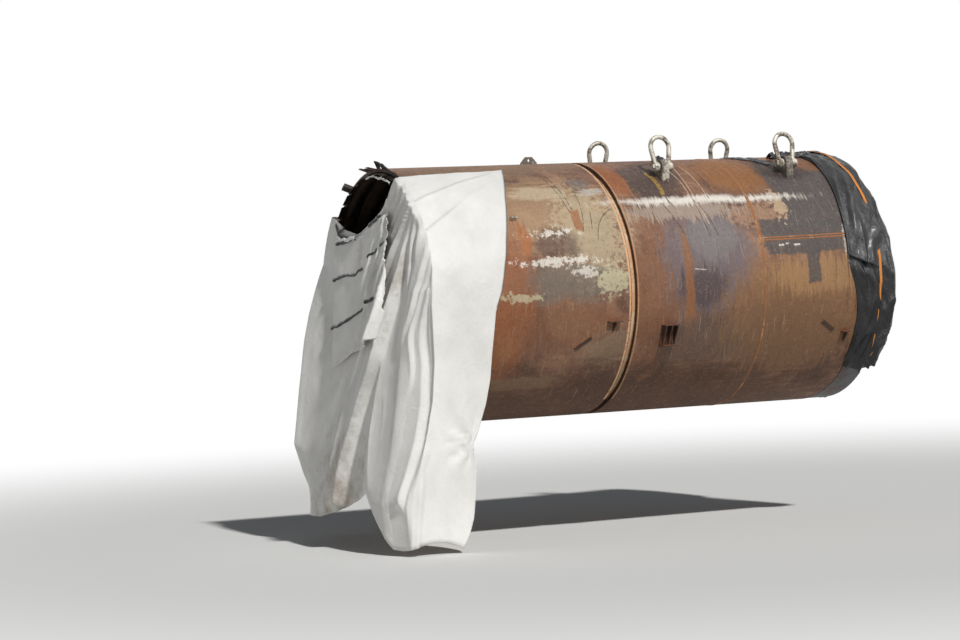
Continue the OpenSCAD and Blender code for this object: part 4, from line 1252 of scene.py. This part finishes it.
    def build(self) -> tuple[Object, list[Object]]:
        """Makes the flap, its ties and its loop."""
        grid = self.grid()
        y, h = grid[..., 1], grid[..., 2] - BODY.axis_z
        # dirt over the whole flap and a browner patch in its middle: partly dirt and partly painted shade for
        # the shade the flap hangs in
        dusty = 0.35 + 0.55 * np.exp(-(((y - 0.35) / 0.4) ** 2) - ((h - 0.75) / 0.3) ** 2)
        flap = Cloth("end_flap", grid, self.cover.thickness).build(self.cover.finish, soil=dusty)
        dark = Webbing("woven_polyester_tie", "#161618", "#2B2927", 6.0).build()
        on_flap = [self.ribbon(path, 0.045, 0.008, k) for k, path in enumerate(self.ties)]
        lower = [self.ribbon(path, 0.04, 0.004 - self.clear, 20 + k) for k, path in enumerate(self.beside)]
        ties = sew("end_ties", on_flap + lower, dark)
        loop = sew("end_loop", [self.ribbon(self.loop, 0.05, 0.03, 31),
                                self.ribbon(self.torn, 0.03, -0.055, 32)], self.cover.finish)
        for piece, slot in ((flap, "white_sheet"), (ties, "black_sheet"), (loop, "white_sheet")):
            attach(piece, "tail")
        return flap, [ties, loop]


class Ground:
    """What a piece is laid on: the outermost of the surfaces built so far."""

    START = 3.0  # distance from the axis where the rays start, outside everything

    def __init__(self, *pieces: Object) -> None:
        """Gathers the faces of the pieces."""
        corners, faces = [], []
        for piece in pieces:
            start = len(corners)
            corners += [v.co.copy() for v in piece.data.vertices]
            faces += [[start + k for k in p.vertices] for p in piece.data.polygons]
        self.tree = BVHTree.FromPolygons(corners, faces)

    def radius(self, x: np.ndarray, phi: np.ndarray) -> np.ndarray:
        """Finds the surface along the shell.

        Args:
            x: places along the axis.
            phi: angles from the crown in degrees.

        Returns:
            The distance from the axis of what is hit, and the shell's own where nothing is.
        """
        x, phi = np.broadcast_arrays(x, phi)
        found = np.full(x.shape, BODY.radius)
        for at in np.ndindex(x.shape):
            angle = math.radians(phi[at])
            way = Vector((0.0, -math.sin(angle), math.cos(angle)))
            start = Vector((x[at], 0.0, BODY.axis_z)) + self.START * way
            hit = self.tree.ray_cast(start, -way, self.START - BODY.radius)
            if hit[0] is not None:
                found[at] = self.START - hit[3]
        return found


def on_shell(x: np.ndarray, phi: np.ndarray, radius: np.ndarray) -> np.ndarray:
    """Places points by axis, angle in degrees from the crown, and radius."""
    angle = np.radians(phi)
    x, y, z = np.broadcast_arrays(x, -radius * np.sin(angle), radius * np.cos(angle) + BODY.axis_z)
    return np.stack([x, y, z], axis=-1)


def spread(value: np.ndarray, reach: int) -> np.ndarray:
    """Gives the largest value among each point's neighbours, then eases it."""
    for axis in (0, 1):
        pad = [(reach, reach) if k == axis else (0, 0) for k in (0, 1)]
        wide = np.pad(value, pad, mode="edge")
        count = value.shape[axis]
        shifts = [np.take(wide, range(k, k + count), axis=axis) for k in range(2 * reach + 1)]
        value = np.maximum.reduce(shifts)
        wide = np.pad(value, pad, mode="edge")
        value = np.mean([np.take(wide, range(k, k + count), axis=axis) for k in range(2 * reach + 1)], axis=0)
    return value


@dataclass
class FrontCover:
    """Black sheeting wrapped over the front edge and the cutterhead, with its strap."""

    thickness: float = 0.004
    side_rows: int = 62
    face_rows: int = 30
    columns: int = 250
    reach: float = 135.0
    flap_h: float = 0.9
    back_hem: tuple[Pair, ...] = (
        (-135.0, 1.88), (-100.0, 1.92), (-60.0, 1.84), (-20.0, 1.9), (0.0, 1.98), (11.0, 2.0), (35.0, 1.93),
        (59.8, 1.83), (83.8, 1.77), (95.0, 1.86), (106.3, 1.93), (129.5, 1.92), (135.0, 1.94),
    )
    layer_front: tuple[Pair, ...] = (
        (12.0, 2.2), (50.0, 2.25), (56.0, 2.3), (61.0, 2.42), (74.0, 2.42), (79.0, 2.31), (86.6, 2.25),
    )

    def __post_init__(self) -> None:
        """Reads the solid that the sheet stands for."""
        low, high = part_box("front_cover")
        self.out_r = high.z - BODY.axis_z
        self.end_x = high.x

    def profile(self, phi: np.ndarray) -> np.ndarray:
        """Gives the sheet's path over the rim at each angle.

        Args:
            phi: angles from the crown in degrees.

        Returns:
            Rows by columns by three: place along the axis, radius, and distance from the hem.
        """
        hem = column(self.back_hem, phi)
        inner = np.minimum(self.out_r - 0.1, self.flap_h / np.maximum(np.cos(np.radians(phi)), 0.05))
        stations = []
        for k in range(len(phi)):
            path = [
                (hem[k], BODY.radius + 0.01),
                (BODY.front_x - 0.01, BODY.radius + 0.014),
                (BODY.front_x + 0.04, self.out_r - 0.03),
                (self.end_x - 0.2, self.out_r - 0.015),
                (self.end_x - 0.06, self.out_r - 0.02),
                (self.end_x - 0.015, self.out_r - 0.08),
                (self.end_x - 0.012, inner[k]),
            ]
            line = np.array(path)
            length = lengths(line)
            side = np.linspace(0, length[-2], self.side_rows)
            face = np.linspace(length[-2], length[-1], self.face_rows + 1)[1:]
            at = np.concatenate([side, face])
            stations.append(np.stack([np.interp(at, length, line[:, j]) for j in (0, 1)] + [at], axis=-1))
        return np.stack(stations, axis=1)

    def build(self) -> Object:
        """Makes the sheet."""
        phi = np.linspace(-self.reach, self.reach, self.columns)
        path = self.profile(phi)
        x, r, run = path[..., 0], path[..., 1], path[..., 2]
        noise = Wrinkles(31)
        arc = BODY.radius * np.radians(phi)[None, :]
        turn = np.abs(phi)[None, :]
        folds = noise.ridged(run / 0.17 + arc / 1.3 + 5, arc / 1.0 + 3) - 0.2
        small = noise.ridged(run / 0.08 - arc / 0.5 + 9, arc / 0.4 + 8) - 0.3
        bunch = noise.ridged(run / 0.15 + arc / 0.9 + 3, arc / 0.5 + 2) * smooth(turn, 78, 96)
        rise = np.maximum(0.07 * folds + 0.02 * small + 0.07 * bunch, -0.004) * smooth(run, 0.0, 0.06)
        droop = 0.03 * smooth(turn, 60, 95) * smooth(run, 0.1, 0.35)
        face = smooth(x, self.end_x - 0.1, self.end_x - 0.02)
        belly = 0.07 * smooth(turn, 50, 88) * smooth(turn, 132, 108)
        belly = belly * smooth(x, BODY.front_x, self.end_x - 0.1)
        r = r + (rise + droop) * (1 - face)
        ragged = 0.02 * noise.layered(arc / 0.5, run * 3) * (1 - smooth(run, 0, 0.2))
        x = x + belly + rise * face * 0.6 + ragged
        self.finish = BLACK_POLY.build()
        piece = Cloth("front_sheeting", on_shell(x, phi[None, :], r), self.thickness, -1.0).build(self.finish)
        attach(piece, "root")
        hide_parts("front_cover")
        self.ground = Ground(piece)
        return piece

    def layer(self) -> Object:
        """Makes the loose outer layer on the near side, which ends in a slanting edge over the strap."""
        t = np.linspace(0, 1, 130)[:, None]
        c = np.linspace(0, 1, 60)[None, :]
        last = column([(0.0, 80.3), (0.45, 83.7), (1.0, 86.6)], c)
        phi = 12 + t * (last - 12)
        back = column(self.back_hem, phi) - 0.035
        x = back * (1 - c) + column(self.layer_front, phi) * c
        noise = Wrinkles(35)
        arc = BODY.radius * np.radians(phi)
        folds = noise.ridged(x / 0.2 + arc / 1.2, arc / 1.1 + 4)
        puff = 0.05 * folds * smooth(t, 0.0, 0.2) * (0.35 + 0.65 * smooth(c, 0.0, 0.12))
        edge = 0.035 * smooth(t, 0.88, 1.0) * (0.4 + 0.6 * smooth(c, 0.1, 0.6))
        r = spread(self.ground.radius(x, phi), 2) + 0.014 + puff + edge
        piece = Cloth("front_outer_layer", on_shell(x, phi, r), self.thickness, -1.0).build(self.finish)
        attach(piece, "root")
        return piece

    def strap(self) -> Object:
        """Makes the strap that holds the sheet, a flat ribbon laid over its folds."""
        low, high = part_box("cover_strap")
        phi = np.linspace(-self.reach, self.reach, 300)[None, :]
        noise = Wrinkles(33)
        x = np.linspace(low.x, high.x, 7)[:, None] + 0.02 * noise.layered(phi / 25, 0 * phi + 6)
        ground = np.max(self.ground.radius(x, phi), axis=0, keepdims=True)
        hidden = smooth(phi, 55, 59) * smooth(phi, 79, 76) + smooth(phi, 92, 96)
        r = (1 - hidden) * (spread(ground, 3) + 0.006) - hidden * (spread(-ground, 3) + 0.012) + 0 * x
        piece = Cloth("strap_webbing", on_shell(x, phi, r), 0.005, -1.0).build(Webbing().build())
        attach(piece, "root")
        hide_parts("cover_strap")
        return piece

    def scraps(self) -> list[Object]:
        """Makes the torn strips on the crown and the rags tied round the near lugs."""
        flat = self.strip(((0.45, 6.0), (0.9, 12.0), (1.08, 22.0)), (0.02, 0.3, 0.12), 0.02, 51)
        crumpled = self.strip(((1.28, 13.0), (1.5, 8.0), (1.85, 7.5), (2.12, 9.0)), (0.12, 0.2, 0.26), 0.1,
                              52)
        strips = sew("crown_strips", [flat, crumpled], self.finish)
        rags = []
        for name, reach in (("lug_front_near", 0.07), ("lug_rear_near", 0.06)):
            low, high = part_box(name)
            middle = (low + high) / 2
            place = Vector((middle.x - 0.03, low.y + 0.45 * (high.y - low.y), high.z - 0.02))
            rags.append(self.rag(f"rag_{name}", place, (1.9 * reach, 1.3 * reach, 1.2 * reach), len(rags)))
        for piece in (strips, *rags):
            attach(piece, "root")
        return [strips, *rags]

    def strip(self, path: tuple[Point, ...], widths: Point, lift: float, seed: int) -> Cloth:
        """Lays a torn strip on the crown.

        Args:
            path: places along the axis and angles from the crown.
            widths: its width at the start, in the middle and at the end.
            lift: how far its folds stand up.
            seed: picks its folds.

        Returns:
            The strip.
        """
        line = np.array(path)
        at = np.linspace(0, len(line) - 1, 90)[None, :]
        share = at / (len(line) - 1)
        x, arc = (np.interp(at, range(len(line)), line[:, k]) for k in (0, 1))
        arc = BODY.radius * np.radians(arc)
        noise = Wrinkles(seed)
        across = np.linspace(-0.5, 0.5, 22)[:, None]
        wide = np.interp(share, (0, 0.5, 1), widths) * (0.75 + 0.5 * noise.at(at * 9, 0 * at))
        x, arc = widen(x, arc, across, wide)
        rise = noise.ridged(x / 0.12 + 3, arc / 0.1 + 5) * (1 - (2 * across) ** 2) ** 0.5
        return Cloth("strip", on_shell(x, np.degrees(arc / BODY.radius), BODY.radius + 0.012 + lift * rise),
                     0.004)

    def rag(self, name: str, place: Vector, size: Point, seed: int) -> Object:
        """Makes a crumpled rag.

        Args:
            name: the piece's name.
            place: its middle.
            size: its half sizes.
            seed: picks its creases.

        Returns:
            The new object, at the origin.
        """
        shape = bmesh.new()
        bmesh.ops.create_icosphere(shape, subdivisions=4, radius=1.0)
        for corner in shape.verts:
            way = corner.co.copy()
            creased = abs(rough_noise.noise(way * 2.3 + Vector((7 * seed, 0, 0))))
            creased += 0.5 * abs(rough_noise.noise(way * 5.1 + Vector((0, 9 * seed, 3))))
            corner.co = place + Vector(w * a * (0.72 + 0.75 * creased) for w, a in zip(way, size))
        mesh = bpy.data.meshes.new(name)
        shape.to_mesh(mesh)
        shape.free()
        mesh.polygons.foreach_set("use_smooth", [True] * len(mesh.polygons))
        mesh.materials.append(self.finish)
        piece = put(name, mesh)
        return piece


class Item(Enum):
    """What a row repeats."""

    HEX = "hexagon head"
    RIPPLE = "weld ripple"
    PLATE = "torn plate"
    WIRE = "bristle"


@dataclass(frozen=True)
class Row:
    """A row of like pieces along or round the machine, placed by a node tree."""

    name: str
    body: str
    slot: str
    finish: str
    item: Item
    count: int
    radius: float
    x: Pair
    phi: Pair
    size: Point
    lean: float = 0.0
    jitter: float = 0.0
    seed: int = 0

    def tree(self) -> Tree:
        """Makes the node tree, with a named input for each size."""
        tree = bpy.data.node_groups.new(f"row_of_{self.item.name.lower()}", "GeometryNodeTree")
        sockets = (
            ("Count", "Int"), ("Radius", "Float"), ("Start", "Vector"), ("End", "Vector"), ("Size", "Vector"),
            ("Lean", "Float"), ("Jitter", "Float"), ("Seed", "Int"), ("Finish", "Material"),
        )
        tree.interface.new_socket("Geometry", in_out="INPUT", socket_type="NodeSocketGeometry")
        for label, kind in sockets:
            tree.interface.new_socket(label, in_out="INPUT", socket_type=f"NodeSocket{kind}")
        tree.interface.new_socket("Geometry", in_out="OUTPUT", socket_type="NodeSocketGeometry")
        given = tree.nodes.new("NodeGroupInput").outputs
        line = add(tree, "GeometryNodeMeshLine", {"Count": given["Count"], "Offset": (0, 0, 0)})
        last = maths(tree, "SUBTRACT", given["Count"], 1.0)
        share = maths(tree, "DIVIDE", add(tree, "GeometryNodeInputIndex"), last)
        feeds = {0: share, 4: given["Start"], 5: given["End"]}
        at = add(tree, "ShaderNodeMix", feeds, 1, data_type="VECTOR")
        parts = split(tree, at)
        sine = maths(tree, "SINE", parts[1])
        cosine = maths(tree, "COSINE", parts[1])
        inward = maths(tree, "MULTIPLY", given["Radius"], -1.0)
        across = maths(tree, "MULTIPLY", sine, inward)
        height = maths(tree, "MULTIPLY_ADD", cosine, given["Radius"], BODY.axis_z)
        place = add(tree, "ShaderNodeCombineXYZ", {0: parts[0], 1: across, 2: height})
        points = add(tree, "GeometryNodeSetPosition", {"Geometry": line, "Position": place})
        turned = add(tree, "ShaderNodeCombineXYZ", {0: parts[1]})
        round_axis = add(tree, "FunctionNodeEulerToRotation", {0: turned})
        least = maths(tree, "MULTIPLY", given["Jitter"], -1.0)
        feeds = {0: least, 1: given["Jitter"], "Seed": given["Seed"]}
        loose = add(tree, "FunctionNodeRandomValue", feeds, data_type="FLOAT_VECTOR")
        tipped = add(tree, "ShaderNodeCombineXYZ", {1: given["Lean"]})
        tipped = vectors(tree, "ADD", tipped, loose)
        own = add(tree, "FunctionNodeEulerToRotation", {0: tipped})
        turn = add(tree, "FunctionNodeRotateRotation", {0: round_axis, 1: own}, rotation_space="LOCAL")
        feeds = {2: 0.75, 3: 1.25, "Seed": given["Seed"]}
        uneven = add(tree, "FunctionNodeRandomValue", feeds, 1, data_type="FLOAT")
        size = add(tree, "ShaderNodeVectorMath", {0: given["Size"], "Scale": uneven}, operation="SCALE")
        feeds = {"Points": points, "Instance": self.shape(tree), "Rotation": turn, "Scale": size}
        placed = add(tree, "GeometryNodeInstanceOnPoints", feeds)
        solid = add(tree, "GeometryNodeRealizeInstances", {"Geometry": placed})
        dressed = add(tree, "GeometryNodeSetMaterial", {"Geometry": solid, "Material": given["Finish"]})
        add(tree, "NodeGroupOutput", {0: dressed})
        return tree

    def shape(self, tree: Tree) -> Socket:
        """Adds the piece that is repeated, one unit across, and standing on its foot if it has one."""
        if self.item is Item.RIPPLE:
            return add(tree, "GeometryNodeMeshIcoSphere", {"Radius": 0.5, "Subdivisions": 2})
        if self.item is Item.PLATE:
            solid = add(tree, "GeometryNodeMeshCube")
        else:
            feeds = {"Vertices": 6 if self.item is Item.HEX else 4, "Radius": 0.5, "Depth": 1.0}
            solid = add(tree, "GeometryNodeMeshCylinder", feeds)
        return add(tree, "GeometryNodeTransform", {"Geometry": solid, "Translation": (0, 0, 0.5)})

    def build(self) -> Object:
        """Makes the row as one plain mesh at the origin."""
        values = {
            "Count": self.count,
            "Radius": self.radius,
            "Start": (self.x[0], math.radians(self.phi[0]), 0.0),
            "End": (self.x[1], math.radians(self.phi[1]), 0.0),
            "Size": self.size,
            "Lean": math.radians(self.lean),
            "Jitter": math.radians(self.jitter),
            "Seed": self.seed,
            "Finish": STEELS[self.finish].made(),
        }
        carrier = put("carrier", bpy.data.meshes.new("carrier"))
        modifier = carrier.modifiers.new("row", "NODES")
        tree = bpy.data.node_groups.get(f"row_of_{self.item.name.lower()}") or self.tree()
        modifier.node_group = tree
        for socket in tree.interface.items_tree:
            if socket.in_out == "INPUT" and socket.name in values:
                modifier[socket.identifier] = values[socket.name]
        posed = carrier.evaluated_get(bpy.context.evaluated_depsgraph_get())
        mesh = bpy.data.meshes.new_from_object(posed)
        mesh.name = self.name
        carrier.modifiers.clear()
        bpy.data.objects.remove(carrier)
        piece = put(self.name, mesh)
        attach(piece, self.body)
        LOG.info("%s: %d faces", self.name, len(mesh.polygons))
        return piece


def rows() -> list[Row]:
    """Lists the rows: weld ripples, bristles, torn rim plates and bolt heads."""
    shell = BODY.radius
    bead = (0.03, 0.026, 0.012)
    made = [
        Row(name, "root", "bracket_steel", "weld_bead", Item.RIPPLE, count, shell, x, phi, bead, seed=seed)
        for name, count, x, phi, seed in (
            ("weld_seam", 520, (0.12, 0.12), (-180, 180), 1),
            ("weld_upper", 100, (0.16, 1.93), (70.2, 69.5), 2),
            ("weld_lower", 100, (0.16, 1.93), (71.3, 70.7), 3),
        )
    ]
    made += [
        Row("rim_plates", "tail", "spring_steel", "spring_steel", Item.PLATE, 13, shell - 0.01,
            (-5.83, -5.86), (-11, 24), (0.012, 0.07, 0.17), -68, 26, 5),
        Row("rim_stub", "tail", "spring_steel", "spring_steel", Item.PLATE, 1, shell - 0.02,
            (-5.83, -5.83), (-31, -31), (0.06, 0.11, 0.16), -62, 0, 7),
        Row("bulkhead_bolts", "root", "drive_steel", "drive_steel", Item.HEX, 40, 0.95,
            (0.702, 0.702), (0, 351), (0.055, 0.055, 0.032), -90, 0, 6),
    ]
    for k, x in enumerate((-5.56, -5.23, -4.9)):
        size = (0.006, 0.006, 0.15)
        wires = Row(f"bristles_{k}", "tail", "spring_steel", "spring_steel", Item.WIRE, 900, 2.045, (x, x),
                    (0, 359.6), size)
        made.append(replace(wires, lean=-112, jitter=5, seed=10 + k))
    return made


@dataclass(frozen=True)
class Studio:
    """Camera at the photograph's angle, plain floor, soft light."""

    place: Point = (-27.389, -47.325, -1.426)
    right: Point = (0.89618, -0.44162, -0.04290)
    up: Point = (0.04781, 0.0, 0.99886)
    forward: Point = (0.44112, 0.89720, -0.02112)
    lens: float = 120.0
    floor_z: float = -6.13
    floor_r: float = 60.0
    # how far from the machine the floor starts and ends its fade to white
    fade: Pair = (11.0, 30.0)

    def camera(self) -> None:
        """Makes the scene's camera."""
        data = bpy.data.cameras.new("view")
        data.lens = self.lens
        data.sensor_width = 36.0
        data.clip_end = 500.0
        camera = put("view", data)
        back = Vector(self.forward).normalized() * -1
        right = Vector(self.right)
        right = (right - right.dot(back) * back).normalized()
        turn = Matrix((right, back.cross(right), back)).transposed()
        camera.matrix_world = Matrix.Translation(self.place) @ turn.to_4x4()
        bpy.context.scene.camera = camera

    def floor(self) -> None:
        """Makes the pale floor, which fades to white with distance for the camera."""
        material, tree = new_tree("pale_floor")
        place = add(tree, "ShaderNodeTexCoord", out="Object")
        reach = vectors(tree, "LENGTH", place, out="Value")
        fade = remap(tree, reach, *self.fade, 0.0, 1.0, interpolation_type="SMOOTHSTEP")
        seen = seen_directly(tree)
        fade = maths(tree, "MULTIPLY", fade, seen)
        matt = add(tree, "ShaderNodeBsdfDiffuse", {"Color": "#E3E2DF"})
        white = add(tree, "ShaderNodeEmission", {"Color": "#FFFFFF", "Strength": 1.0})
        both = add(tree, "ShaderNodeMixShader", {0: fade, 1: matt, 2: white})
        add(tree, "ShaderNodeOutputMaterial", {0: both})
        angles = np.linspace(0, 2 * math.pi, 97)[:-1]
        points = [(self.floor_r * math.cos(a), self.floor_r * math.sin(a), self.floor_z) for a in angles]
        mesh = bpy.data.meshes.new("floor")
        mesh.from_pydata(points, [], [list(range(len(points)))])
        mesh.materials.append(material)
        piece = put("floor", mesh)

    def light(self) -> None:
        """Makes the key and fill, and a world that is white where the camera sees it."""
        for name, towards, strength, spread in (
            ("key", (0.04, -0.72, 0.69), 2.85, 0.05),
            ("fill", (-0.3, -0.9, 0.3), 0.06, 0.6),
        ):
            lamp = bpy.data.lights.new(name, "SUN")
            lamp.energy = strength
            lamp.angle = spread
            holder = bpy.data.objects.new(name, lamp)
            holder.rotation_mode = "QUATERNION"
            holder.rotation_quaternion = Vector(towards).to_track_quat("Z", "Y")
            bpy.context.scene.collection.objects.link(holder)
        world = bpy.data.worlds.new("studio")
        world.use_nodes = True
        tree = world.node_tree
        tree.nodes.clear()
        seen = seen_directly(tree)
        soft = add(tree, "ShaderNodeBackground", {"Color": "#E4ECF5", "Strength": 0.13})
        white = add(tree, "ShaderNodeBackground", {"Color": "#FFFFFF", "Strength": 1.0})
        both = add(tree, "ShaderNodeMixShader", {0: seen, 1: soft, 2: white})
        add(tree, "ShaderNodeOutputWorld", {0: both})
        bpy.context.scene.world = world

    def build(self) -> None:
        """Sets up everything round the machine."""
        self.camera()
        self.floor()
        self.light()
        bpy.context.scene.view_settings.view_transform = "Standard"


def main() -> None:
    """Builds the sub-assemblies in order."""
    logging.basicConfig(level=logging.INFO, format="%(name)s %(message)s")
    Studio().build()
    dress_frame()
    for row in rows():
        row.build()
    tail = TailCover()
    tail_sheet = tail.build()
    flap, ties = EndFlap(tail).build()
    front = FrontCover()
    front_sheet = front.build()
    strap = front.strap()
    layer = front.layer()
    strips, *rags = front.scraps()


if __name__ == "__main__":
    main()
